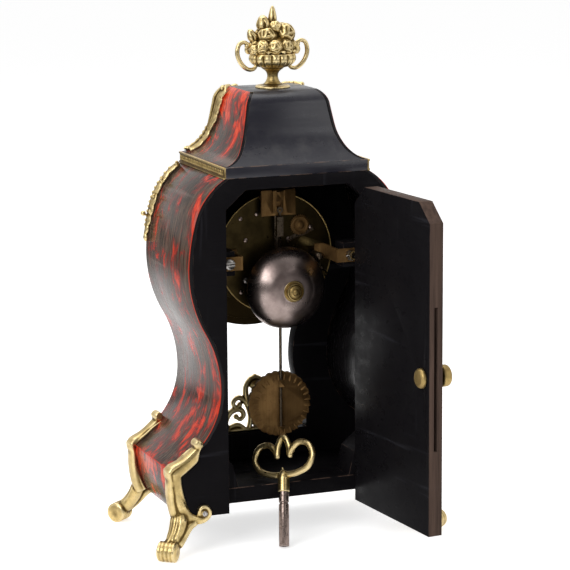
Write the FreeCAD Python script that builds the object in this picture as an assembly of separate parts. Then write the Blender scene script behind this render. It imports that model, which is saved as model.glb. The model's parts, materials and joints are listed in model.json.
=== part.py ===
import FreeCAD, Part
import math
import os

# Table clock: waisted case on four scroll feet, pagoda hood with a vase of flowers, open back door,
# spring movement with pendulum and bell. Millimetres. +X is right seen from the front, +Y is the
# back, +Z is up. The origin is the middle of the case on the surface that the clock stands on.

V = FreeCAD.Vector

# Height of the middle of the dial, which the upper case, the movement and the bell follow
DIAL_HEIGHT = 187.0

# Half width of the doorway, which the outline of the case follows
DOORWAY_HALF = 49.2

# Case body, half outline of the side: half width and height of each point
CASE_DEPTH = 86.2
BASE_POINT = (DOORWAY_HALF + 31.3, 24.8)
KNEE_POINT = (DOORWAY_HALF + 38.8, 56.0)
KNEE_RISE_POINT = (DOORWAY_HALF + 20.6, 70.5)
WAIST_POINT = (DOORWAY_HALF + 5.1, 107.5)
BELLY_POINT = (DOORWAY_HALF + 25.6, DIAL_HEIGHT + 5.0)
BELLY_LOW_POINT = (DOORWAY_HALF + 15.0, 0.556 * WAIST_POINT[1] + 0.444 * BELLY_POINT[1])
SHOULDER_POINT = (DOORWAY_HALF + 20.9, DIAL_HEIGHT + 31.4)
NECK_POINT = (DOORWAY_HALF + 0.9, DIAL_HEIGHT + 57.5)
BASE_BULGE = 2.0
SKIN = 3.0
BOARD = 9.5

# Openings in the front and back boards
DOORWAY_DROP = 7.7
DOOR_CHAMFER_X = 13.5
DOOR_CHAMFER_Z = 12.0
DIAL_SEAT = 5.5
WINDOW_SILL = 57.0
WINDOW_HEAD_DROP = 37.0
WINDOW_MARGIN = 28.0
WINDOW_HALF_MAX = 36.0
FLOOR_BOARD_LOW = 28.5
FLOOR_BOARD = 10.3

# Cornice and hood
CORNICE = 7.4
BAND = 1.0
BAND_LIP = 0.5
BAND_LIP_HEIGHT = 1.3
HOOD_HEIGHT = 44.7
HOOD_SKIN = 2.4
HOOD_BOARD = 5.0
HOOD_TOP_BOARD = 8.0
HOOD_LEDGE = 0.8

# Finial
FINIAL_HEIGHT = 53.4
VASE_FOOT_R = 11.5
VASE_STEM_R = 3.5
VASE_BOWL_R = 15.0
VASE_BOWL_HEIGHT = 22.5
SPIKE_X = -0.3
SPIKE_R = 2.6
SPIKE_TIP_R = 1.6
SPIKE_FOOT = 15.0
HANDLE_R = 1.5
STUD_R = 1.5
STUD_SEAT = 8.0
NUT_R = 3.6
NUT_HEIGHT = 3.0

# Feet and corner mounts
MOUNT_PROUD = 2.2
FLANGE = 1.5
FLANGE_WIDTH = 4.0
STRAP_WIDTH = 9.0
FOOT_SCROLL_R = 3.0
VOLUTE_POINT = (BASE_POINT[0] - 13.0, 27.7)
VOLUTE_R = 4.6
BRANCH_R = 2.2
TOE_POINT = (BASE_POINT[0] + 13.9, CASE_DEPTH / 2 + 7.9)
# Sections of the leg: out from the corner of the base, behind the case, height and radius
LEG_SECTIONS = (
    (-2.9, -2.9, 33.0, 6.0),
    (-0.5, -0.5, 22.0, 6.4),
    (5.1, 2.8, 13.4, 5.4),
    (11.1, 6.3, 7.4, 4.6),
)
TOE_R = 6.8
TOE_LENGTH = 14.0
TOE_FLAT = 0.25
TOE_FLUTES = 4
FLUTE_DEPTH = 0.6
FOOT_SCREW_R = 1.0
FOOT_SCREW_HEAD_R = 1.7
FOOT_SCREW_LENGTH = 6.0
CORNER_MOUNT_LOW = 193.0
CORNER_MOUNT_WIDTH = 8.0
CORNER_KNOB_R = 1.7
HOOD_MOUNT_WIDTH = 7.0
HOOD_MOUNT_PROUD = 2.0

# Back door, its hinges and its latch
DOOR_OPEN = 95.3
DOOR_GAP = 0.7
HINGE_PROUD = 0.5
LOW_HINGE_HEIGHT = 72.0
HIGH_HINGE_DROP = 42.8
HINGE_LENGTH = 26.0
HINGE_END_GAP = 0.3
LEAF = 1.1
LEAF_WIDTH = 8.0
KNUCKLE_R = 1.9
KNUCKLE_SINK = 2.2
HINGE_PIN_R = 0.9
RUNNING = 0.05
LATCH_FROM_EDGE = 9.0
LATCH_HEIGHT = 125.5
LATCH_SLOT = 92.0
LATCH_SLOT_WIDTH = 2.6
LATCH_SLOT_DEPTH = 18.0
TONGUE = 1.8
TONGUE_HEIGHT = 8.0
TONGUE_THROW = 2.2
TONGUE_TAIL = 6.0
SPINDLE_R = 2.0
KNOB_R = 7.0
KNOB_DEPTH = 9.0
CAP_R = 6.4
CAP_DEPTH = 3.0
STRIKE_DEPTH = 2.5

# Dial, bezel and hands
DIAL_RING_R = 57.0
DIAL_RING_WIDTH = 4.5
DIAL = 1.2
DIAL_RING_DEPTH = 2.0
PLAQUE_R = 4.8
PLAQUE = 0.8
PLAQUE_INSET = 8.5
BEZEL_DEPTH = 6.2
BEZEL_GAP = 0.2
BEZEL_WIDTH = 7.2
GLASS_SEAT = 1.3
GLASS = 1.6
GLASS_RISE = 8.5
BEZEL_KNUCKLE_R = 1.5
BEZEL_KNUCKLE_LENGTH = 14.0
BEZEL_PIN_R = 0.7
WINDING_X = 21.0
WINDING_DROP = 17.0
WINDING_HOLE_R = 3.6
MINUTE_LENGTH = 40.0
HOUR_LENGTH = 27.0
HAND = 0.8

# Movement
PLATE_R = 40.0
PLATE = 2.0
PLATE_BACK = 2.5
PLATE_SPAN = 30.0
PILLAR_R = 2.5
PILLAR_RING_R = 35.0
PILLAR_ANGLES = (60.0, 120.0, 250.0, 290.0)
DIAL_FOOT_ANGLES = (90.0, 210.0, 330.0)
DIAL_FOOT_INSET = 16.5
DIAL_FOOT_R = 1.5
ARBOR_R = 1.0
PIVOT_R = 0.8
ANCHOR_HOLE_R = 2.0
BARREL_R = 11.4
BARREL_RIM_R = 12.3
BARREL_ARBOR_R = 2.0
RATCHET_R = 8.0
RATCHET_TEETH = 24
RATCHET_TOOTH = 1.0
SQUARE = 3.2
SQUARE_GAP = 0.4
CANNON_TEETH = 12
MINUTE_TEETH = 36
PINION_TEETH = 10
HOUR_TEETH = 40
MOTION_CENTRES = 12.0
CANNON_R = 1.9
HOUR_PIPE_R = 2.8

# Pendulum, bell and hammer
SUSPENSION_RISE = 30.0
SUSPENSION_PIN_R = 0.8
SUSPENSION_EYE_R = 2.0
COCK_STAND = 4.3
COCK = 2.0
BEARING_DEPTH = 1.2
PENDULUM_Y = 10.4
ROD_R = 1.0
ROD_LOW = 66.0
RATING_NUT_R = 2.0
BLOCK_DROP = 4.5
BLOCK = 13.0
BOB_HEIGHT = 86.0
BOB_R = 21.2
BOB = 2.6
BOB_LOBES = 28
BOB_LOBE_RISE = 0.9
BELL_X = -2.6
BELL_DROP = 21.5
BELL_R = 27.3
BELL_RIM_Y = 13.6
BELL_RISE = 15.0
BELL_WALL = 1.5
BELL_SEAT = 0.3
BELL_POST_R = 2.0
BELL_BEND_Y = 15.8
BELL_FOOT = (-16.0, -33.0)
BELL_WASHER = 0.7
BELL_NUT = 2.8
BELL_THREAD = 0.6
BELL_NUT_R = 4.2
BELL_WASHER_R = 6.8
HAMMER_PIVOT = (-32.5, -15.0)
HAMMER_ANGLE = 140.0
HAMMER_GAP = 1.5
HAMMER_HEAD_R = 2.2
HAMMER_STUD_R = 1.2
HAMMER_STUD = 6.0
COUNT_WHEEL = (-17.0, 18.0)
CRUTCH_DROP = 27.0
CRUTCH_GAP = 0.3
STRAP_X = 34.5
STRAP = 1.5
STRAP_HEIGHT = 9.0
STRAP_SCREW_X = 42.5
STRAP_SCREW_HEAD_R = 3.4
STRAP_SCREW_R = 1.4
LUG_Y = 29.5
WEDGE_DEPTH = 22.0

# Winding key
KEY_X = 15.3
KEY_FOOT_Y = 53.65
KEY_LENGTH = 75.0
KEY_SHANK_R = 3.4
KEY_SHANK_LENGTH = 36.0
KEY_GROOVE_DROP = 7.5
KEY_SOCKET_DEPTH = 14.0
KEY_NECK_R = 3.8
KEY_NECK_LENGTH = 11.0
KEY_WIRE_R = 1.7
KEY_KNOT = 0.15
KEY_BOW_HALF = 22.6
KEY_BOW_HEIGHT = 23.5
KEY_CUSP = (4.7, 13.5)
KEY_LEAN = 24.5
KEY_TWIST = -32.0
KEY_TURN = -21.4

# Values worked out from the sizes above
CASE_BACK = CASE_DEPTH / 2
CASE_FRONT = -CASE_BACK
BOARD_BACK = CASE_BACK - BOARD
BOARD_FRONT = CASE_FRONT + BOARD
CASE_LOW = BASE_POINT[1]
CASE_TOP = NECK_POINT[1]
CASE_HALF_AT_NECK = NECK_POINT[0]
REACH = 2 * CASE_BACK
DOORWAY_TOP = CASE_TOP - DOORWAY_DROP
HINGE_HEIGHTS = (LOW_HINGE_HEIGHT, DOORWAY_TOP - HIGH_HINGE_DROP)
CORNICE_TOP = CASE_TOP + CORNICE
HOOD_TOP = CORNICE_TOP + HOOD_HEIGHT
TOP = HOOD_TOP + FINIAL_HEIGHT
HINGE_X = DOOR_GAP / 2 - DOORWAY_HALF
HINGE_Y = CASE_BACK + HINGE_PROUD
DOOR_HALF = DOORWAY_HALF - DOOR_GAP
DOOR_MIDDLE_Y = CASE_BACK - BOARD / 2
LATCH_X = DOOR_HALF - LATCH_FROM_EDGE
TONGUE_REACH = LATCH_FROM_EDGE + TONGUE_THROW
WINDOW_HEAD = DIAL_HEIGHT - WINDOW_HEAD_DROP
FLOOR_BOARD_TOP = FLOOR_BOARD_LOW + FLOOR_BOARD
PLATE_BACK_IN = PLATE_BACK - PLATE
PLATE_FRONT_IN = PLATE_BACK_IN - PLATE_SPAN
PLATE_FRONT = PLATE_FRONT_IN - PLATE
DIAL_R = DIAL_RING_R - DIAL_RING_WIDTH
MOVEMENT_HOLE_R = DIAL_R - DIAL_SEAT
PLAQUE_RING_R = DIAL_R - PLAQUE_INSET
DIAL_FOOT_RING_R = DIAL_R - DIAL_FOOT_INSET
BEZEL_INNER_R = DIAL_RING_R - BEZEL_WIDTH
GLASS_R = BEZEL_INNER_R + GLASS_SEAT
DIAL_BACK = CASE_FRONT
DIAL_FRONT = DIAL_BACK - DIAL
PLAQUE_FRONT = DIAL_FRONT - PLAQUE
DIAL_RING_FRONT = CASE_FRONT - DIAL_RING_DEPTH
BEZEL_BACK = DIAL_RING_FRONT - BEZEL_GAP
BEZEL_FRONT = BEZEL_BACK - BEZEL_DEPTH
BEZEL_AXIS = (DIAL_RING_R + BEZEL_KNUCKLE_R + 0.1, BEZEL_BACK + BEZEL_GAP / 2)
HOUR_Y = PLAQUE_FRONT - 0.6
MINUTE_Y = HOUR_Y - HAND - 0.8
WINDING_Z = DIAL_HEIGHT - WINDING_DROP
SUSPENSION_HEIGHT = DIAL_HEIGHT + SUSPENSION_RISE
BLOCK_TOP = SUSPENSION_HEIGHT - BLOCK_DROP
CRUTCH_LOW = SUSPENSION_HEIGHT - CRUTCH_DROP
BELL_HEIGHT = DIAL_HEIGHT - BELL_DROP
BELL_TOP_Y = BELL_RIM_Y + BELL_RISE
HAMMER_REACH = BELL_R + HAMMER_HEAD_R + HAMMER_GAP
HAMMER_HEAD_X = BELL_X + HAMMER_REACH * math.cos(math.radians(HAMMER_ANGLE))
HAMMER_HEAD_Z = BELL_HEIGHT + HAMMER_REACH * math.sin(math.radians(HAMMER_ANGLE))
BELL_SEAT_Y = BELL_TOP_Y + BELL_SEAT


def box(x0, x1, y0, y1, z0, z1):
    return Part.makeBox(x1 - x0, y1 - y0, z1 - z0, V(x0, y0, z0))


def rod(radius, start, end):
    """Round bar between two points."""
    a = V(*start)
    along = V(*end) - a
    return Part.makeCylinder(radius, along.Length, a, along)


def rod_y(radius, x, z, y0, y1):
    return rod(radius, (x, min(y0, y1), z), (x, max(y0, y1), z))


def fuse(shapes):
    """One solid from touching shapes."""
    whole = shapes[0].multiFuse(shapes[1:]) if len(shapes) > 1 else shapes[0]
    return whole.removeSplitter()


def mirror_x(shape):
    return shape.mirror(V(0, 0, 0), V(1, 0, 0))


def mirror_y(shape):
    return shape.mirror(V(0, 0, 0), V(0, 1, 0))


def chain(start, heading, points):
    """Arcs through the points, each tangent to the one before. Heading is degrees from up."""
    arcs = []
    p = start
    tangent = (math.sin(math.radians(heading)), math.cos(math.radians(heading)))
    for q in points:
        c = (q[0] - p[0], q[1] - p[1])
        length = math.hypot(*c)
        c = (c[0] / length, c[1] / length)
        normal = (-c[1], c[0])
        along = tangent[0] * c[0] + tangent[1] * c[1]
        turn = math.atan2(tangent[0] * normal[0] + tangent[1] * normal[1], along)
        rise = length / 2 * math.tan(turn / 2)
        middle = ((p[0] + q[0]) / 2 + normal[0] * rise, (p[1] + q[1]) / 2 + normal[1] * rise)
        arcs.append((p, middle, q))
        tangent = (2 * along * c[0] - tangent[0], 2 * along * c[1] - tangent[1])
        p = q
    return arcs


def backwards(arcs):
    return [(q, m, p) for p, m, q in reversed(arcs)]


def arc_edges(arcs, place):
    return [Part.Arc(place(p), place(m), place(q)).toShape() for p, m, q in arcs]


def mirrored_face(arcs, place):
    """Face between arcs that run upwards and their mirror image, closed by level lines."""
    other = backwards([((-p[0], p[1]), (-m[0], m[1]), (-q[0], q[1])) for p, m, q in arcs])
    top = Part.makeLine(place(arcs[-1][2]), place(other[0][0]))
    bottom = Part.makeLine(place(other[-1][2]), place(arcs[0][0]))
    edges = arc_edges(arcs, place) + [top] + arc_edges(other, place) + [bottom]
    return Part.Face(Part.Wire(edges))


def case_arcs(shift=0.0):
    """Right-hand outline of the case from its base to its neck, moved sideways by shift."""
    lower = (BASE_POINT[0] + KNEE_POINT[0]) / 2 + BASE_BULGE
    base = (BASE_POINT, (lower, (BASE_POINT[1] + KNEE_POINT[1]) / 2), KNEE_POINT)
    down = chain(WAIST_POINT, 180.0, [KNEE_RISE_POINT, KNEE_POINT])
    up = chain(WAIST_POINT, 0.0, [BELLY_LOW_POINT, BELLY_POINT, SHOULDER_POINT, NECK_POINT])
    arcs = [base] + backwards(down) + up
    return [tuple((x + shift, z) for x, z in arc) for arc in arcs]


def case_prism(y0, y1, shift=0.0):
    face = mirrored_face(case_arcs(shift), lambda p: V(p[0], y0, p[1]))
    return face.extrude(V(0, y1 - y0, 0))


def case_cover(y0, y1, proud):
    """The case outline grown evenly by proud, as a block from y0 to y1."""
    face = mirrored_face(case_arcs(), lambda p: V(p[0], y0, p[1]))
    return face.makeOffset2D(proud).extrude(V(0, y1 - y0, 0))


def hood_half_width():
    edge = CASE_HALF_AT_NECK
    foot = (edge - HOOD_LEDGE, CORNICE_TOP)
    middle = (edge - 18.5, CORNICE_TOP + 22.1)
    down = chain(middle, 168.0, [(edge - 13.8, CORNICE_TOP + 9.6), foot])
    up = chain(middle, -12.0, [(edge - 21.2, HOOD_TOP - 8.6), (edge - 26.8, HOOD_TOP)])
    return backwards(down) + up


def hood_half_depth():
    foot = (CASE_BACK - HOOD_LEDGE, CORNICE_TOP)
    middle = (CASE_BACK - 13.5, CORNICE_TOP + 23.1)
    down = chain(middle, 172.0, [(CASE_BACK - 8.1, CORNICE_TOP + 9.6), foot])
    up = chain(middle, -8.0, [(CASE_BACK - 15.5, HOOD_TOP - 8.6), (CASE_BACK - 23.6, HOOD_TOP)])
    return backwards(down) + up


def hood_across(shift=0.0):
    """Block with the hood's outline seen from the front, moved sideways by shift."""
    arcs = [tuple((x + shift, z) for x, z in arc) for arc in hood_half_width()]
    return mirrored_face(arcs, lambda p: V(p[0], -REACH, p[1])).extrude(V(0, 2 * REACH, 0))


def hood_along(shift=0.0):
    """Block with the hood's outline seen from the side, moved sideways by shift."""
    arcs = [tuple((y + shift, z) for y, z in arc) for arc in hood_half_depth()]
    return mirrored_face(arcs, lambda p: V(-REACH, p[0], p[1])).extrude(V(2 * REACH, 0, 0))


def doorway(grow, low):
    """Outline of the back opening, with its two cut corners, as a face on the back of the case."""
    half = DOORWAY_HALF + grow
    top = DOORWAY_TOP + grow
    corner = half - DOOR_CHAMFER_X
    points = [(-half, low), (half, low), (half, top - DOOR_CHAMFER_Z), (corner, top)]
    points += [(-corner, top), (-half, top - DOOR_CHAMFER_Z), (-half, low)]
    return Part.Face(Part.makePolygon([V(x, CASE_BACK, z) for x, z in points]))


def hinge_bar(radius, z0, z1):
    """Round bar on the hinge line of the back door."""
    return rod(radius, (HINGE_X, HINGE_Y, z0), (HINGE_X, HINGE_Y, z1))


def hinge_grooves():
    """Room for the knuckles, cut into the corners of the stile and of the door."""
    half = HINGE_LENGTH / 2 + HINGE_END_GAP
    return [hinge_bar(KNUCKLE_SINK, z - half, z + half) for z in HINGE_HEIGHTS]


def leaf_seats(x0, x1):
    """Place of each hinge leaf between two planes across the case."""
    half = HINGE_LENGTH / 2
    return [box(x0, x1, CASE_BACK - LEAF_WIDTH, HINGE_Y, z - half, z + half) for z in HINGE_HEIGHTS]


def case_leaf_seats():
    return leaf_seats(-DOORWAY_HALF - LEAF, -DOORWAY_HALF)


def door_leaf_seats():
    return leaf_seats(-DOOR_HALF, -DOOR_HALF + LEAF)


def back_frame():
    board = case_prism(BOARD_BACK, CASE_BACK, -SKIN)
    opening = doorway(0.0, 0.0).extrude(V(0, -BOARD, 0))
    sweep = TONGUE_REACH * 0.75
    strike = box(DOORWAY_HALF, DOORWAY_HALF + STRIKE_DEPTH, DOOR_MIDDLE_Y - LATCH_SLOT_WIDTH / 2,
                 DOOR_MIDDLE_Y + LATCH_SLOT_WIDTH / 2, LATCH_HEIGHT - TONGUE_HEIGHT, LATCH_HEIGHT + sweep)
    holes = [foot_screw_hole(x, 1) for x in (VOLUTE_POINT[0], -VOLUTE_POINT[0])]
    return board.cut([opening, strike] + holes + hinge_grooves() + case_leaf_seats())


def window():
    """Pendulum window below the dial: follows the case outline inside a wide margin."""
    block = case_prism(CASE_FRONT, BOARD_FRONT, -WINDOW_MARGIN)
    half = WINDOW_HALF_MAX
    return block.common(box(-half, half, CASE_FRONT, BOARD_FRONT, WINDOW_SILL, WINDOW_HEAD))


def front_frame():
    board = case_prism(CASE_FRONT, BOARD_FRONT, -SKIN)
    hole = rod_y(MOVEMENT_HOLE_R, 0, DIAL_HEIGHT, CASE_FRONT, BOARD_FRONT)
    screws = [foot_screw_hole(x, -1) for x in (VOLUTE_POINT[0], -VOLUTE_POINT[0])]
    return board.cut([hole, window()] + screws)


def side(sign):
    shell = case_prism(CASE_FRONT, CASE_BACK).cut(case_prism(CASE_FRONT, CASE_BACK, -SKIN))
    half = box(0, 2 * KNEE_POINT[0], CASE_FRONT, CASE_BACK, 0, TOP)
    right = shell.common(half)
    return right if sign > 0 else mirror_x(right)


def bottom_board():
    block = box(-KNEE_POINT[0], KNEE_POINT[0], BOARD_FRONT, BOARD_BACK, FLOOR_BOARD_LOW, FLOOR_BOARD_TOP)
    return block.common(case_prism(BOARD_FRONT, BOARD_BACK, -SKIN))


def top_board():
    half = CASE_HALF_AT_NECK - BAND
    return box(-half, half, CASE_FRONT + BAND, CASE_BACK, CASE_TOP, CORNICE_TOP)


def cornice_band():
    """Brass strip round the sides and the front of the cornice, with a lip at each edge."""
    half = CASE_HALF_AT_NECK
    strip = box(-half, half, CASE_FRONT, CASE_BACK, CASE_TOP, CORNICE_TOP)
    lips = []
    for z in (CASE_TOP, CORNICE_TOP - BAND_LIP_HEIGHT):
        lip = half + BAND_LIP
        lips.append(box(-lip, lip, CASE_FRONT - BAND_LIP, CASE_BACK, z, z + BAND_LIP_HEIGHT))
    inside = box(-half + BAND, half - BAND, CASE_FRONT + BAND, CASE_BACK + 1.0, 0, TOP)
    return fuse([strip] + lips).cut(inside)


def hood():
    return hood_across().common(hood_along())


def hood_side(sign):
    shell = hood().cut(hood_across(-HOOD_SKIN))
    right = shell.common(box(0, REACH, -REACH, REACH, 0, TOP))
    return right if sign > 0 else mirror_x(right)


def hood_wall(sign):
    wall = hood().common(hood_across(-HOOD_SKIN)).cut(hood_along(-HOOD_BOARD))
    back = wall.common(box(-REACH, REACH, 0, REACH, 0, TOP))
    return back if sign > 0 else mirror_y(back)


def hood_top():
    inside = hood_across(-HOOD_SKIN).common(hood_along(-HOOD_BOARD))
    board = inside.common(box(-REACH, REACH, -REACH, REACH, HOOD_TOP - HOOD_TOP_BOARD, HOOD_TOP))
    return board.cut(rod(STUD_R + RUNNING, (0, 0, 0), (0, 0, TOP)))


def spline(points):
    curve = Part.BSplineCurve()
    curve.interpolate([V(*p) for p in points])
    return curve.toShape()


def finial_vase():
    """Turned foot, stem and bowl."""
    base = HOOD_TOP
    rim = HOOD_TOP + VASE_BOWL_HEIGHT
    stem = [(VASE_FOOT_R, 0, base + 1.6), (VASE_STEM_R + 2.6, 0, base + 3.2), (VASE_STEM_R, 0, base + 7.6)]
    stem += [(VASE_STEM_R + 1.0, 0, base + 10.6), (VASE_STEM_R + 3.4, 0, base + 12.6)]
    bowl = [(VASE_STEM_R + 3.4, 0, base + 13.0), (VASE_BOWL_R - 3.0, 0, base + 15.0)]
    bowl += [(VASE_BOWL_R, 0, rim - 3.0), (VASE_BOWL_R - 0.8, 0, rim)]
    edges = [Part.makeLine(V(0, 0, base), V(VASE_FOOT_R, 0, base))]
    edges += [Part.makeLine(V(VASE_FOOT_R, 0, base), V(*stem[0])), spline(stem)]
    edges += [Part.makeLine(V(*stem[-1]), V(*bowl[0])), spline(bowl)]
    edges += [Part.makeLine(V(*bowl[-1]), V(0, 0, rim)), Part.makeLine(V(0, 0, rim), V(0, 0, base))]
    vase = Part.Face(Part.Wire(edges)).revolve(V(0, 0, 0), V(0, 0, 1), 360)
    return vase.cut(rod(STUD_R + RUNNING, (0, 0, base), (0, 0, base + STUD_SEAT)))


def swept(arcs, radius, place, start_normal):
    """Round bar along tangent arcs."""
    path = Part.Wire(arc_edges(arcs, place))
    ring = Part.Wire(Part.makeCircle(radius, place(arcs[0][0]), start_normal))
    return path.makePipeShell([ring], True, False)


def heading_vector(heading):
    """Direction in the plane of the dial, degrees from up towards +X."""
    angle = math.radians(heading)
    return V(math.sin(angle), 0, math.cos(angle))


def finial_handle(sign):
    base = HOOD_TOP
    points = [(16.5, base + 12.4), (24.4, base + 22.0), (20.8, base + 30.2), (16.2, base + 27.2)]
    arcs = chain((9.0, base + 15.2), 120.0, points)
    bar = swept(arcs, HANDLE_R, lambda p: V(p[0], 0, p[1]), heading_vector(120.0))
    if sign < 0:
        bar = mirror_x(bar)
    pieces = bar.cut([finial_vase(), finial_bouquet()]).Solids
    return max(pieces, key=lambda s: s.Volume)


def finial_bouquet():
    """Bunch of buds and blossoms over the bowl: centre and radius of each."""
    rim = HOOD_TOP + VASE_BOWL_HEIGHT
    blossoms = [(0.0, 0.0, 4.0, 10.0), (-8.5, 0.0, 13.0, 6.3), (4.8, 0.5, 12.0, 6.4), (6.2, 0.0, 19.0, 3.6)]
    blossoms += [(12.5, 0.0, 5.0, 5.2), (-12.5, 0.0, 4.5, 5.0), (0.0, 8.5, 4.5, 6.4), (0.0, -8.5, 4.5, 6.4)]
    blossoms += [(-9.0, 6.0, 3.5, 5.0), (-9.0, -6.0, 3.5, 5.0), (9.0, 6.5, 3.0, 5.0), (9.0, -6.5, 3.0, 5.0)]
    blossoms += [(-0.8, 0.0, 15.0, 5.0), (14.6, 0.0, 11.0, 3.2)]
    pieces = [Part.makeSphere(r, V(x, y, rim + z)) for x, y, z, r in blossoms]
    tip = TOP - SPIKE_TIP_R
    pieces.append(Part.makeCone(SPIKE_R, SPIKE_TIP_R, tip - rim - SPIKE_FOOT, V(SPIKE_X, 0, rim + SPIKE_FOOT)))
    pieces.append(Part.makeSphere(SPIKE_TIP_R, V(SPIKE_X, 0, tip)))
    bunch = fuse(pieces)
    over = box(-REACH, REACH, -REACH, REACH, rim, TOP)
    return bunch.common(over)


def finial_stud():
    nut_top = HOOD_TOP - HOOD_TOP_BOARD
    stud = rod(STUD_R, (0, 0, nut_top - NUT_HEIGHT - 2.0), (0, 0, HOOD_TOP + STUD_SEAT))
    nut = Part.Face(Part.makePolygon([
        V(NUT_R * math.cos(math.radians(a)), NUT_R * math.sin(math.radians(a)), nut_top - NUT_HEIGHT)
        for a in range(0, 361, 60)
    ])).extrude(V(0, 0, NUT_HEIGHT))
    return fuse([stud, nut])


def foot_screw_hole(x, sign):
    y = sign * CASE_BACK
    return rod((FOOT_SCREW_R + RUNNING), (x, y + sign * 4.0, VOLUTE_POINT[1]),
               (x, y - sign * FOOT_SCREW_LENGTH, VOLUTE_POINT[1]))


def foot_toe():
    """Fluted roll that the foot stands on, across the diagonal of the corner."""
    angle = math.atan2(TOE_POINT[1] - CASE_BACK, TOE_POINT[0] - BASE_POINT[0])
    across = V(-math.sin(angle), math.cos(angle), 0)
    centre = V(TOE_POINT[0], TOE_POINT[1], TOE_R - TOE_FLAT)
    count = 2 * TOE_FLUTES - 1
    width = TOE_LENGTH / count
    slices = []
    for i in range(count):
        radius = TOE_R - (FLUTE_DEPTH if i % 2 else 0.0)
        start = centre + across * (i * width - TOE_LENGTH / 2)
        slices.append(Part.makeCylinder(radius, width, start, across))
    return fuse(slices)


def foot_leg():
    """Leg that leans out from under the corner of the case to the toe."""
    rings = []
    for out, back, z, radius in LEG_SECTIONS:
        centre = V(BASE_POINT[0] + out, CASE_BACK + back, z)
        rings.append(Part.Wire(Part.makeCircle(radius, centre, V(0, 0, 1))))
    return Part.makeLoft(rings, True, False)


def foot():
    """Back right foot: strap over the knee, flange on the back, scrolls, leg and toe."""
    low = BASE_POINT[1] - 2.0
    high = KNEE_RISE_POINT[1] + 2.0
    strap = case_cover(CASE_BACK - STRAP_WIDTH, CASE_BACK, MOUNT_PROUD)
    strap = strap.common(box(KNEE_RISE_POINT[0], 2 * KNEE_POINT[0], 0, REACH, low, high))
    flange = case_cover(CASE_BACK, CASE_BACK + FLANGE, MOUNT_PROUD).cut(
        case_prism(CASE_BACK, CASE_BACK + FLANGE, -MOUNT_PROUD - FLANGE_WIDTH))
    flange = flange.common(box(KNEE_RISE_POINT[0], 2 * KNEE_POINT[0], 0, REACH, low, high))
    scroll_x = KNEE_RISE_POINT[0] + 1.2
    scroll = rod_y(FOOT_SCROLL_R, scroll_x, high, CASE_BACK - STRAP_WIDTH, CASE_BACK + FLANGE + 1.0)
    x, z = VOLUTE_POINT
    branch_y = CASE_BACK + 1.2
    arcs = chain((BASE_POINT[0] - 0.5, 31.0), 190.0, [(BASE_POINT[0] - 5.9, 20.6), (x - 0.4, z - 4.4)])
    branch = swept(arcs, BRANCH_R, lambda p: V(p[0], branch_y, p[1]), heading_vector(190.0))
    volute = rod_y(VOLUTE_R, x, z, CASE_BACK, CASE_BACK + 3.4)
    whole = fuse([strap, flange, scroll, branch, volute, foot_leg(), foot_toe()])
    body = case_prism(CASE_FRONT, CASE_BACK)
    below = box(-REACH, 2 * REACH, -REACH, 2 * REACH, -REACH, 0)
    return whole.cut([body, below, foot_screw_hole(x, 1)])


def screws():
    """Foot screws and the two screws that hold the movement straps."""
    solids = []
    x, z = VOLUTE_POINT
    for sx in (1, -1):
        for sy in (1, -1):
            face = sy * (CASE_BACK + 3.4)
            shank = rod(FOOT_SCREW_R, (sx * x, face, z), (sx * x, sy * (CASE_BACK - FOOT_SCREW_LENGTH), z))
            head = rod(FOOT_SCREW_HEAD_R, (sx * x, face, z), (sx * x, face + sy * 0.9, z))
            solids.append(fuse([shank, head]))
    for sx in (1, -1):
        x = sx * STRAP_SCREW_X
        shank = rod_y(STRAP_SCREW_R, x, DIAL_HEIGHT, LUG_Y - 12.0, LUG_Y)
        head = rod_y(STRAP_SCREW_HEAD_R, x, DIAL_HEIGHT, LUG_Y, LUG_Y + 2.2)
        slot = box(x - STRAP_SCREW_HEAD_R, x + STRAP_SCREW_HEAD_R, LUG_Y + 1.3, LUG_Y + 2.2,
                   DIAL_HEIGHT - 0.4, DIAL_HEIGHT + 0.4)
        solids.append(fuse([shank, head]).cut(slot))
    return solids


def corner_mount(sign):
    """Brass mount on a front corner of the body, from the cornice down to a point."""
    y1 = CASE_FRONT + CORNER_MOUNT_WIDTH
    grown = case_cover(CASE_FRONT - FLANGE, y1, MOUNT_PROUD)
    inner = case_prism(CASE_FRONT - FLANGE, CASE_FRONT, -CORNER_MOUNT_WIDTH)
    band = box(0, REACH, -REACH, 0, CORNER_MOUNT_LOW, CASE_TOP - 1.0)
    mount = grown.cut([case_prism(CASE_FRONT, CASE_BACK), inner]).common(band)
    tip = Part.Face(Part.makePolygon([
        V(REACH, CASE_FRONT, CORNER_MOUNT_LOW), V(REACH, y1 + 1.0, CORNER_MOUNT_LOW),
        V(REACH, y1 + 1.0, CORNER_MOUNT_LOW + 3 * CORNER_MOUNT_WIDTH), V(REACH, CASE_FRONT, CORNER_MOUNT_LOW),
    ])).extrude(V(-REACH, 0, 0))
    mount = mount.cut(tip)
    knob_x = BELLY_POINT[0] + MOUNT_PROUD - 1.6
    knob = Part.makeSphere(CORNER_KNOB_R, V(knob_x, CASE_FRONT + 0.8, CORNER_MOUNT_LOW + 19.0))
    mount = fuse([mount, knob.cut(case_prism(CASE_FRONT, CASE_BACK))])
    right = max(mount.Solids, key=lambda s: s.Volume)
    return right if sign > 0 else mirror_x(right)


def hood_mount(sign):
    """Brass mount on a front corner of the hood."""
    grown = hood_across(HOOD_MOUNT_PROUD).common(hood_along(HOOD_MOUNT_PROUD))
    inside = [hood(), hood_across(-HOOD_MOUNT_WIDTH), hood_along(-HOOD_MOUNT_WIDTH)]
    part = grown.cut(inside).common(box(0, REACH, -REACH, 0, CORNICE_TOP + 1.5, HOOD_TOP))
    right = max(part.Solids, key=lambda s: s.Volume)
    return right if sign > 0 else mirror_x(right)


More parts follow.
